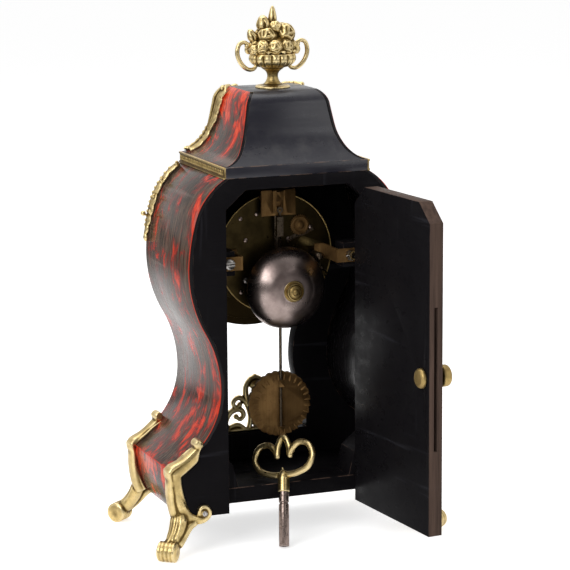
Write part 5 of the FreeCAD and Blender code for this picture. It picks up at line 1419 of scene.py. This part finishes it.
@dataclass
class Finial(Assembly):
    """Cast vase of flowers on the hood: gadrooned bowl, two handles and a bunch."""

    base: float = 296.6
    lobes: int = 16
    lobe_depth: float = 0.13
    rim: float = 22.5
    bowl_foot: float = 13.0

    def gadroon(self, angle: np.ndarray, height: float) -> np.ndarray:
        """Return the swelling of the bowl's lobes.

        Args:
            angle: Angles round the bowl.
            height: Height over the vase's foot.

        Returns:
            What the radius is multiplied by at each angle.
        """
        rise = np.clip((height - self.bowl_foot) / 2.0, 0, 1)
        fall = np.clip((self.rim - height) / 1.5, 0.25, 1)
        return 1 + self.lobe_depth * rise * fall * (np.sqrt(np.abs(np.sin(angle * self.lobes / 2))) - 0.85)

    def vase(self) -> list[Solid]:
        """Return the thin disc, the trumpet stem and the lobed bowl.

        Returns:
            The solids in millimetres, which run into each other.
        """
        profile = [(0, 0), (11.5, 0), (11.5, 0.9), (10.8, 1.5), (6.2, 2.2)]
        stem = [(6.2, 2.2), (4.4, 4.4), (3.5, 7.6), (4.4, 10.4), (6.6, 12.2)]
        bowl = [(6.9, self.bowl_foot), (11.6, 14.3), (14.6, 17.0), (15.4, 19.6), (14.4, self.rim)]
        profile += [*curve(stem, 16), (7.2, 12.5), *curve(bowl, 24)]
        profile += [(12.0, self.rim + 0.4), (0, self.rim + 0.4)]
        return [lathe(profile, (0, 0, self.base), UP, 192, self.gadroon)]

    @staticmethod
    def rose(centre: Place, facing: Place, radius: float) -> list[Solid]:
        """Return a round blossom of three rings of petals that lie over each other.

        Args:
            centre: Its middle.
            facing: Direction that it opens in.
            radius: Its radius.

        Returns:
            The solids in millimetres, which run into each other.
        """
        middle, up = np.asarray(centre, float), Vector(facing).normalized()
        first = up.orthogonal().normalized()
        solids = [ball(centre, (0.88 * radius,) * 3)]
        solids.append(ball(middle + 0.72 * radius * np.array(up), (0.34 * radius,) * 3))
        for petals, low, high, shift in ((6, 2.0, 0.95, 0.0), (5, 1.45, 0.55, 0.5), (3, 0.9, 0.15, 0.2)):
            tilt = np.linspace(low, high, 9)[:, None]
            share = 1.3 * radius * math.sin((low + high) / 2) * math.pi / petals
            half = share * np.sin(np.linspace(0.9, 2.5, 9))
            for index in range(petals):
                level = Matrix.Rotation((index + shift) / petals * FULL_TURN, 3, up) @ first
                way = np.cos(tilt) * np.array(up) + np.sin(tilt) * np.array(level)
                path = middle + way * radius * np.linspace(0.8, 1.06, 9)[:, None]
                solids.append(sweep(path, half, 0.1 * radius, up.cross(level), 2.0, 8))
        return solids

    @staticmethod
    def bud(start: Place, way: Place, width: float, length: float) -> list[Solid]:
        """Return a long bud with five folded petals.

        Args:
            start: Its foot.
            way: Direction of its tip.
            width: Its half width.
            length: Its length.

        Returns:
            The solids in millimetres, which run into each other.
        """
        up = Vector(way).normalized()
        foot = Vector(start)
        middle = foot + up * length / 2
        solids = [ball(middle, (0.85 * width, 0.85 * width, length / 2), up)]
        for index in range(5):
            side = Matrix.Rotation(index / 5 * FULL_TURN, 3, up) @ up.orthogonal().normalized()
            fold = [foot + side * 0.5 * width, middle - up * 0.1 * length + side * width]
            fold.append(foot + up * 0.86 * length + side * 0.45 * width)
            path = curve([tuple(spot) for spot in fold], 12)
            solids.append(sweep(path, 0.42 * width, 0.2 * width, up.cross(side), 2.0, 8))
        return solids

    @staticmethod
    def leaf(start: Place, way: Place, length: float, width: float) -> list[Solid]:
        """Return a pointed leaf with a rib.

        Args:
            start: Its foot.
            way: Direction of its tip.
            length: Its length.
            width: Its half width.

        Returns:
            The solids in millimetres, which run into each other.
        """
        tip = Vector(start) + Vector(way).normalized() * length
        middle = (Vector(start) + tip) / 2 + Vector((0, 0, 0.14 * length))
        path = curve([start, tuple(middle), tuple(tip)], 14)
        half = width * np.sin(np.linspace(0.2, 0.2 + 0.92 * math.pi, 14)) + 0.25
        side = Vector(way).cross(Vector(UP))
        return [sweep(path, half, 0.7, side, 2.0, 10), sweep(path, 0.5, 1.1, side, 2.0, 8)]

    def bunch(self) -> list[Solid]:
        """Return the blossoms, buds and leaves over the bowl.

        Returns:
            The solids in millimetres, which run into each other.
        """
        rim = self.base + self.rim
        solids = [ball((0, 0, rim + 4), (12.0, 11.0, 8.0)), ball((0, 0, rim + 11), (6.5, 5.5, 7.0))]
        for side in (-1, 1):
            solids += self.rose((-7.6, 2.4 * side, rim + 12.4), (-0.35, 0.9 * side, 0.4), 6.2)
            solids += self.rose((4.6, 2.4 * side, rim + 10.8), (0.2, 0.9 * side, 0.35), 6.0)
            solids += self.rose((-0.6, 3.6 * side, rim + 17.0), (-0.1, 0.8 * side, 0.6), 3.8)
            for end in (-1, 1):
                solids += self.rose((13.8 * end, 4.2 * side, rim + 2.6), (0.7 * end, 0.7 * side, 0.1), 3.4)
        for angle in range(0, 360, 40):
            way = Vector((math.cos(math.radians(angle)), math.sin(math.radians(angle)), 0.25))
            solids += self.rose((11.4 * way.x, 10.2 * way.y, rim + 4.2), way, 4.6)
            aside = Matrix.Rotation(math.radians(20), 3, "Z") @ way
            solids += self.leaf((9.5 * aside.x, 9.0 * aside.y, rim + 0.8), (aside.x, aside.y, 0.05), 6.6, 2.6)
        solids += self.bud((5.6, 0, rim + 14.2), (0.12, 0, 1), 4.1, 10.8)
        solids += self.bud((-0.3, 0, rim + 16.4), UP, 2.5, 14.4)
        return solids + self.bud((12.2, 0, rim + 7.6), (0.42, 0, 0.9), 2.9, 9.4)

    def handle(self) -> list[Solid]:
        """Return the right handle, a wire with curled ends.

        Returns:
            The solids in millimetres, which run into each other.
        """
        line = [(11.0, 15.0), (13.4, 12.4), (17.6, 12.6), (22.0, 16.6), (24.4, 22.6), (23.4, 28.2)]
        line += [(20.2, 30.1), (16.8, 28.6), (14.6, 26.0)]
        steps = np.arange(44)
        path = upright(curve(line, len(steps)) + (0, self.base), 0.0)
        radius = np.interp(steps, (0, 12, 26, 43), (1.2, 1.5, 1.55, 1.2))
        curl = ball((17.6, 0, self.base + 27.6), (1.7, 1.7, 1.7))
        return [sweep(path, radius, radius, BACK, 2.0, 12), curl]

    def build(self) -> None:
        """Make the three castings."""
        self.shop.gild(self.vase(), "vase_cast", "finial_vase", 0.36)
        self.shop.gild(self.bunch(), "bunch_cast", "finial_bouquet", 0.34, 1)
        handle = self.handle()
        self.shop.gild(handle + mirrored(handle, (-1, 1, 1)), "handles_cast", "finial_handles", 0.34)


@dataclass
class WindowScroll(Assembly):
    """Pierced casting on the sill of the pendulum window."""

    y: float = -38.35
    sill: float = 57.0
    half_width: float = 21.8
    lines: tuple = (
        (((20.6, 1.5), (21.4, 8), (17.6, 14.2), (11.4, 15.6), (8.4, 11.6), (11, 8.4), (14, 10.6)), 1.9),
        (((4.4, 2), (3.4, 10), (6.4, 19.5), (12, 23.8), (16, 20.6), (14.2, 16.8), (11.2, 18.8)), 1.8),
        (((2.6, 14), (6.2, 22), (6.6, 30.5), (3.6, 36), (0, 37.6)), 1.9),
        (((8, 2), (12.5, 4.6), (17.5, 4), (20, 1.6)), 1.5),
    )
    middle: tuple = ((18.0, (2.6, 1.7, 18.0)), (33.0, (5.2, 1.6, 4.4)), (14.0, (6.0, 1.6, 2.4)))

    def build(self) -> None:
        """Make the casting."""
        half = []
        steps = np.arange(36)
        for points, radius in self.lines:
            path = upright(curve(points, len(steps)) + (0, self.sill), self.y)
            thick = radius * np.interp(steps, (0, 18, 35), (1.0, 1.15, 0.7))
            half += [sweep(path, radius, thick, BACK, 2.0, 12), ball(path[-1], (1.9, 1.9, 1.9))]
        foot = np.array([(x, self.y, self.sill + 1.2) for x in (-self.half_width, 0, self.half_width)])
        solids = half + mirrored(half, (-1, 1, 1)) + [sweep(foot, 1.5, 1.3, BACK, 3.0, 12)]
        solids += [ball((0, self.y, self.sill + height), radii) for height, radii in self.middle]
        self.shop.gild(solids, "window_scroll_cast", "window_mount", 0.4)


@dataclass
class WindingKey(Assembly):
    """Loose key that leans on the bottom board: steel shank, brass neck and a bow of bent wire."""

    foot: tuple[float, float] = (15.3, 53.65)
    lean: float = 24.5
    twist: float = -32.0
    turn: float = -21.4
    shank_radius: float = 3.4
    shank: float = 36.0
    neck: float = 11.0

    def placed(self, solids: Sequence[Solid]) -> list[Solid]:
        """Return solids of the upright key in the leaning key's place.

        Args:
            solids: Solids of a key that stands on the origin.

        Returns:
            The same solids where the key leans.
        """
        turn = Matrix.Identity(3)
        for angle, axis in ((self.turn, "Z"), (self.lean, "X"), (self.twist, "Z")):
            turn = turn @ Matrix.Rotation(math.radians(angle), 3, axis)
        foot = np.array((*self.foot, self.shank_radius * math.sin(math.radians(self.lean))))
        return [(points @ np.array(turn).T + foot, faces) for points, faces in solids]

    def build(self) -> None:
        """Make the shank and the bow."""
        r, n = self.shank_radius, self.shank
        shank = [(0, 12.0), (1.75, 12.0), (1.75, 0.0), (r - 0.3, 0.0), (r, 0.4), (r, n - 8.4)]
        shank += [(r - 0.55, n - 7.9), (r - 0.55, n - 7.1), (r, n - 6.6), (r, n - 0.05), (0, n - 0.05)]
        mesh = mesh_from(self.placed([lathe(shank, (0, 0, 0), UP, 40)]), "key_shank")
        self.shop.dress(mesh, "key_shank", Body.KEY, Slot.STEEL, (), self.shop.brown_steel)
        z = n + self.neck
        neck = [(0, n), (3.6, n), (3.85, n + 0.3), (3.85, z - 1.6), (3.3, z + 1.0), (2.0, z + 3.0)]
        neck.append((0, z + 3.4))
        loop = [(0.8, 0.6), (5.6, 0.4), (11.0, 1.2), (18.4, 4.4), (22.4, 11.4), (19.6, 18.8), (13.2, 21.2)]
        loop = curve(loop + [(8.0, 18.8), (5.0, 14.2)], 60)
        peak = curve([(4.9, 13.2), (4.4, 18.4), (2.4, 23.6), (0, 26.2)], 24)
        half = [sweep(upright(line + (0, z), 0), 1.9, 2.1, BACK, 2.4) for line in (loop, peak)]
        half.append(ball((4.9, 0, z + 13.4), (2.2, 1.9, 2.3)))
        cusp = upright(curve([(0, 0), (0.5, 2.6), (0.9, 5.4)], 12) + (0, z), 0)
        solids = [lathe(neck, (0, 0, 0), UP, 40)]
        solids.append(sweep(cusp, np.linspace(2.0, 0.7, 12), np.linspace(2.4, 0.6, 12), BACK))
        solids += [ball((0, 0, z + 26.1), (1.8, 1.75, 1.8))] + half + mirrored(half, (-1, 1, 1))
        self.shop.gild(self.placed(solids), "key_bow", "winding_key", 0.36, body=Body.KEY)


@dataclass
class Dial(Assembly):
    """Face of the clock: numerals on enamel plaques, minute track, relief on the plate and bezel beads."""

    plaque_ring: float = 44.0
    plaque_front: float = -45.1
    plate_front: float = -44.3
    track_ring: float = 50.6
    bead_ring: float = 54.4
    bead_front: float = -51.2
    numeral_size: tuple[float, float, float] = (6.6, 4.6, 0.12)
    widest_letter: float = 6.2
    leaf_rings: tuple = (("inner", 17.0, 24), ("middle", 28.0, 36), ("outer", 34.5, 48))
    numerals: tuple[str, ...] = ("XII", "I", "II", "III", "IIII", "V", "VI", "VII", "VIII", "IX", "X", "XI")

    def around(self, radius: float, count: int, y: float) -> Spread:
        """Return places on a ring of the dial, with what faces the viewer and what points outwards.

        Args:
            radius: Radius of the ring.
            count: Number of places.
            y: Depth of the places.

        Returns:
            Places, directions of the top and directions of X.
        """
        out = [(math.sin(t), 0.0, math.cos(t)) for t in np.arange(count) / count * FULL_TURN]
        places = [(radius * o[0], y, self.height() + radius * o[2]) for o in out]
        return places, [FRONT] * count, out

    @staticmethod
    def height() -> float:
        """Return the height of the dial's middle."""
        low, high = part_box("dial_plate")
        return (low[2] + high[2]) / 2 / MM

    def numeral(self, word: str, index: int) -> Mesh:
        """Return one numeral as a thin mesh that lies on its plaque.

        Args:
            word: Letters of the numeral.
            index: Its place, clockwise from the top.

        Returns:
            The mesh in metres, in its place.
        """
        data = bpy.data.curves.new("numeral", "FONT")
        data.body = word
        data.align_x = "CENTER"
        data.align_y = "CENTER"
        data.size = 1.0
        data.extrude = 0.02
        data.resolution_u = 3
        text = bpy.data.objects.new("numeral", data)
        bpy.context.scene.collection.objects.link(text)
        mesh = bpy.data.meshes.new_from_object(text.evaluated_get(bpy.context.evaluated_depsgraph_get()))
        bpy.data.objects.remove(text)
        spots = np.array([v.co for v in mesh.vertices])
        spots -= (spots.max(0) + spots.min(0)) / 2
        scale = np.array(self.numeral_size) / (spots.max(0) - spots.min(0))
        spots *= (min(scale[0], self.widest_letter), scale[1], scale[2])
        turn = index / len(self.numerals) * FULL_TURN
        right = np.array((math.cos(turn), 0, -math.sin(turn)))
        out = np.array((math.sin(turn), 0, math.cos(turn)))
        middle = np.array((0, self.plaque_front - 0.02, self.height())) + out * self.plaque_ring
        placed = middle + spots @ np.array((right, out, FRONT))
        mesh.vertices.foreach_set("co", (placed * MM).ravel())
        mesh.update()
        return mesh

    def build(self) -> None:
        """Dress the face."""
        shop = self.shop
        for index, word in enumerate(self.numerals):
            shop.dress(self.numeral(word, index), f"numeral_{index}", Body.CASE, Slot.ENAMEL, (), shop.ink)
        plaques = copied("numeral_plaques", 0.3, 50.0)
        shop.dress(plaques, "numeral_plaques_glazed", Body.CASE, Slot.ENAMEL, ("numeral_plaques",))
        leaf = [ball((0, 0, 0), (2.6, 0.9, 0.5)), ball((1.5, 0, 0.1), (0.9, 1.1, 0.6))]
        for name, radius, count in self.leaf_rings:
            ring = self.around(radius, count, self.plate_front)
            shop.spread(leaf, f"dial_leaves_{name}", ring, Body.CASE, Slot.GILT)
        track = self.around(self.track_ring, 60, self.plate_front)
        shop.spread([ball((0, 0, 0), (0.8, 0.3, 0.25))], "minute_track", track, Body.CASE, Slot.GILT)
        beads = self.around(self.bead_ring, 108, self.bead_front)
        shop.spread([ball((0, 0, 0), (1.05, 1.05, 0.9))], "bezel_beads", beads, Body.BEZEL, Slot.GILT)


@dataclass
class Movement(Assembly):
    """Wheels, plates, bell, pendulum and small fittings, which keep their solids' shapes."""

    bob_height: float = 86.0
    rays: int = 28
    ray_ring: float = 18.6
    back_face: float = 0.3
    bell_top: tuple[float, float, float] = (-2.6, 28.75, 165.5)
    # Parts in the darkest brass: aged patina and painted shade together.
    patina_and_shade_parts: tuple[str, ...] = ("front_plate", "back_plate", "pillars", "going_barrel", "strike_barrel",
                                  "going_train", "strike_train", "minute_wheel")
    worn_brass: tuple[str, ...] = ("count_wheel", "straps", "suspension_cock", "pendulum_bob")
    dark_backs: tuple[str, ...] = ("dial_plate", "dial_ring")
    # Steel parts that take the much darker copy of the steel.
    darkened_steel_parts: tuple[str, ...] = ("pendulum_rod", "anchor", "clicks", "hammer", "latch_tongue", "finial_stud")
    plate_screws: tuple = ((24.5, 24.5), (-24.5, -24.5), (24.5, -24.5), (13.0, 27.0), (21.0, 10.0),
                           (-9.0, 9.0), (-25.0, 16.0), (30.0, -3.0))

    def bell_nut(self) -> None:
        """Screw a washer and a ringed nut on the bell."""
        washer = [(0, 0), (6.9, 0), (7.1, 0.3), (6.8, 0.7), (0, 0.7)]
        nut = [(0, 0.7), (5.8, 0.7), (5.9, 1.2), (5.9, 2.9), (5.5, 3.5), (5.0, 3.6), (4.4, 2.2), (3.7, 2.2)]
        nut += [(3.3, 3.7), (2.5, 4.0), (2.0, 2.9), (1.5, 2.9), (1.3, 4.2), (0, 4.35)]
        mesh = mesh_from([lathe(ring, self.bell_top, BACK) for ring in (washer, nut)], "bell_nut")
        self.shop.dress(mesh, "bell_nut", Body.CASE, Slot.SHEET, (), self.shop.materials[Slot.GILT])

    def back_work(self) -> None:
        """Add the rim of the back plate, its screws and a lever beside the count wheel."""
        shop = self.shop
        low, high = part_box("back_plate")
        radius, face = (high[0] - low[0]) / 2 / MM - 0.2, high[1] / MM
        height = (high[2] + low[2]) / 2 / MM
        turns = np.linspace(0, FULL_TURN, 97)
        # The rim is a thin bead of bright brass against the darkened plate; it stands in for the glint along
        # the plate's edge, a painted highlight.
        rim = upright(np.stack([radius * np.cos(turns), height + radius * np.sin(turns)], 1), face - 0.1)
        mesh = mesh_from([sweep(rim, 0.35, 0.45, BACK, 2.0, 10)], "plate_rim")
        shop.dress(mesh, "plate_rim", Body.CASE, Slot.SHEET)
        dome = lathe([(0, 0), (1.4, 0), (1.4, 0.6), (1.0, 0.9), (0, 0.95)], (0, 0, 0), UP, 24)
        places = [(x, face - 0.1, height + z) for x, z in self.plate_screws]
        heads = (places, [BACK] * len(places), [RIGHT] * len(places))
        shop.spread([dome], "plate_screws", heads, Body.CASE, Slot.STEEL, shop.brown_steel)
        bar = curve([(-8.0, 8.0), (-14.0, 10.5), (-20.5, 12.0), (-27.0, 14.5)], 24) + (0, height)
        lever = sweep(upright(bar, face + 0.35), 0.4, np.linspace(1.7, 0.9, 24), BACK, 3.0, 12)
        mesh = mesh_from([lever], "plate_lever")
        shop.dress(mesh, "plate_lever", Body.CASE, Slot.STEEL, (), shop.dark_steel)

    def bob_rays(self) -> None:
        """Press a ray into the sheet of the bob at each point of its rim."""
        low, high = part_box("pendulum_bob")
        middle, face = (high[0] + low[0]) / 2 / MM, high[1] / MM - 0.2
        turns = (np.arange(self.rays) + 0.5) / self.rays * FULL_TURN
        out = [(math.cos(t), 0, math.sin(t)) for t in turns]
        places = [(middle + self.ray_ring * o[0], face, self.bob_height + self.ray_ring * o[2]) for o in out]
        ray = [ball((0, 0, 0), (2.3, 0.8, 0.4))]
        spread = (places, [BACK] * self.rays, out)
        self.shop.spread(ray, "bob_rays", spread, Body.PENDULUM, Slot.SHEET, self.shop.dull_brass)

    def build(self) -> None:
        """Give every solid that still shows its finish, with round faces smooth."""
        shop = self.shop
        self.bell_nut()
        self.back_work()
        self.bob_rays()
        others = {node: shop.patina_and_shade_brass for node in self.patina_and_shade_parts}
        others |= {node: shop.dull_brass for node in self.worn_brass}
        others |= {node: shop.dark_steel for node in self.darkened_steel_parts}
        bodies = frame["record"]["behaviour"]["bodies"]
        homes = {node: Body(body) for body, nodes in bodies.items() for node in nodes}
        for entry in frame["record"]["subparts"]:
            node = entry["node"]
            if node not in shop.done:
                mesh = copied(node)
                if node in self.dark_backs:
                    mark(mesh, "inside", "FACE", [face.normal.y > self.back_face for face in mesh.polygons])
                slot = Slot(entry["material_slot"])
                shop.dress(mesh, node + "_finished", homes[node], slot, (node,), others.get(node))


@dataclass
class Stage:
    """Camera, floor, background and lamps."""

    lens: float = 152.5
    distance: float = 1.60594
    azimuth: float = 158.567
    elevation: float = 10.909
    roll: float = -0.411
    target: tuple[float, float, float] = (-0.007662, 0.0, 0.164373)
    lamp_target: tuple[float, float, float] = (0, 0, 0.17)
    pale: Colour = (0.85, 0.85, 0.85, 1)
    dim: Colour = (0.1, 0.1, 0.1, 1)
    white: Colour = (1, 1, 1, 1)
    glow: float = 0.66
    sky_light: float = 0.38
    dark_way: tuple[float, float, float] = (0.25, 0.97, 0.0)
    floor_half: float = 6.0

    def build(self) -> None:
        """Set up everything round the clock."""
        self.camera()
        self.floor()
        self.world()
        self.lamp("window_light", (0.95, 0.75, 0.85), 0.8, 9.0)
        self.lamp("room_light", (-0.9, 1.2, 0.7), 1.0, 4.5)
        self.lamp("ceiling_light", (0.1, -0.3, 1.3), 1.2, 9.0)

    def camera(self) -> None:
        """Place the camera at the photograph's angle."""
        az, el, roll = (math.radians(a) for a in (self.azimuth, self.elevation, self.roll))
        back = Vector((math.sin(az) * math.cos(el), -math.cos(az) * math.cos(el), math.sin(el)))
        right = Vector((math.cos(az), math.sin(az), 0))
        tilted = right * math.cos(roll) + back.cross(right) * math.sin(roll)
        data = bpy.data.cameras.new("view")
        data.lens = self.lens
        data.sensor_width = 36.0
        data.clip_start = 0.01
        camera = bpy.data.objects.new("view", data)
        turn = Matrix((tilted, back.cross(tilted), back)).transposed()
        camera.matrix_world = Matrix.Translation(Vector(self.target) + back * self.distance) @ turn.to_4x4()
        bpy.context.scene.collection.objects.link(camera)
        bpy.context.scene.camera = camera

    @staticmethod
    def background_rays(sheet: NodeSheet) -> NodeSocket:
        """Return 1 for rays that show the background, straight or in metal and glass.

        Args:
            sheet: Nodes of the tree.

        Returns:
            The mask.
        """
        path = sheet.add("ShaderNodeLightPath").outputs
        shown = sheet.most(path["Is Camera Ray"], path["Is Glossy Ray"])
        return sheet.most(shown, path["Is Transmission Ray"])

    def floor(self) -> None:
        """Lay a pale floor that keeps the clock's shadow and is darker far off in reflections."""
        mesh = bpy.data.meshes.new("floor")
        far = self.floor_half
        mesh.from_pydata([(-far, -far, 0), (far, -far, 0), (far, far, 0), (-far, far, 0)], [], [(0, 1, 2, 3)])
        floor = bpy.data.objects.new("floor", mesh)
        bpy.context.scene.collection.objects.link(floor)
        material = bpy.data.materials.new("pale_floor")
        material.use_nodes = True
        nodes = material.node_tree.nodes
        nodes.remove(nodes["Principled BSDF"])
        sheet = NodeSheet(material.node_tree)
        away = sheet.vector("LENGTH", sheet.add("ShaderNodeNewGeometry").outputs["Position"])["Value"]
        glossy = sheet.add("ShaderNodeLightPath").outputs["Is Glossy Ray"]
        dim = sheet.times(sheet.step(away, 0.4, 1.1, 0.0, 0.8), glossy)
        paint = sheet.add("ShaderNodeBsdfDiffuse", None, Color=sheet.mix(dim, self.pale, self.dim))
        glow = sheet.times(self.background_rays(sheet), sheet.step(dim, 0.0, 1.0, self.glow, 0.0))
        lit = sheet.add("ShaderNodeEmission", None, Color=self.white, Strength=glow)
        both = sheet.add("ShaderNodeAddShader", None, paint.outputs[0], lit.outputs[0])
        sheet.feed(nodes["Material Output"].inputs["Surface"], both.outputs[0])
        mesh.materials.append(material)

    def world(self) -> None:
        """Make the background white, with a darker room behind the camera in reflections."""
        world = bpy.data.worlds.new("studio")
        bpy.context.scene.world = world
        world.use_nodes = True
        sheet = NodeSheet(world.node_tree)
        camera_ray = sheet.add("ShaderNodeLightPath").outputs["Is Camera Ray"]
        sky = sheet.add("ShaderNodeTexCoord").outputs["Generated"]
        facing = sheet.vector("DOT_PRODUCT", sky, self.dark_way)["Value"]
        room = sheet.most(sheet.step(facing, -0.1, 0.75, 1.0, 0.22), camera_ray)
        strength = sheet.add("ShaderNodeMix", {"data_type": "FLOAT"}, self.background_rays(sheet))
        for index, value in ((2, self.sky_light), (3, room)):
            sheet.feed(strength.inputs[index], value)
        sheet.fill(world.node_tree.nodes["Background"], Color=self.white, Strength=strength.outputs[0])

    def lamp(self, name: str, place: Place, size: float, power: float) -> None:
        """Hang a soft square lamp that looks at the clock.

        Args:
            name: Name of the lamp.
            place: Where it hangs, in metres.
            size: Its width in metres.
            power: Its power in watts.
        """
        data = bpy.data.lights.new(name, "AREA")
        data.size = size
        data.energy = power
        lamp = bpy.data.objects.new(name, data)
        lamp.location = place
        lamp.rotation_euler = (Vector(self.lamp_target) - Vector(place)).to_track_quat("-Z", "Y").to_euler()
        bpy.context.scene.collection.objects.link(lamp)


def main() -> None:
    """Build the scene piece by piece."""
    logging.basicConfig(level=logging.INFO, format="%(name)s: %(message)s")
    bpy.context.scene.view_settings.view_transform = "Standard"
    Stage().build()
    shop = Workshop()
    outline = Outline("side_right")
    hood = Outline("hood_side_right", "hood_front")
    mounts = (ScrollFoot(shop, outline), CornerMounts(shop, outline, hood), Cornice(shop), Finial(shop))
    others = (WindowScroll(shop), WindingKey(shop), Dial(shop), Movement(shop))
    for assembly in (Woodwork(shop), *mounts, *others):
        assembly.build()


if __name__ == "__main__":
    main()
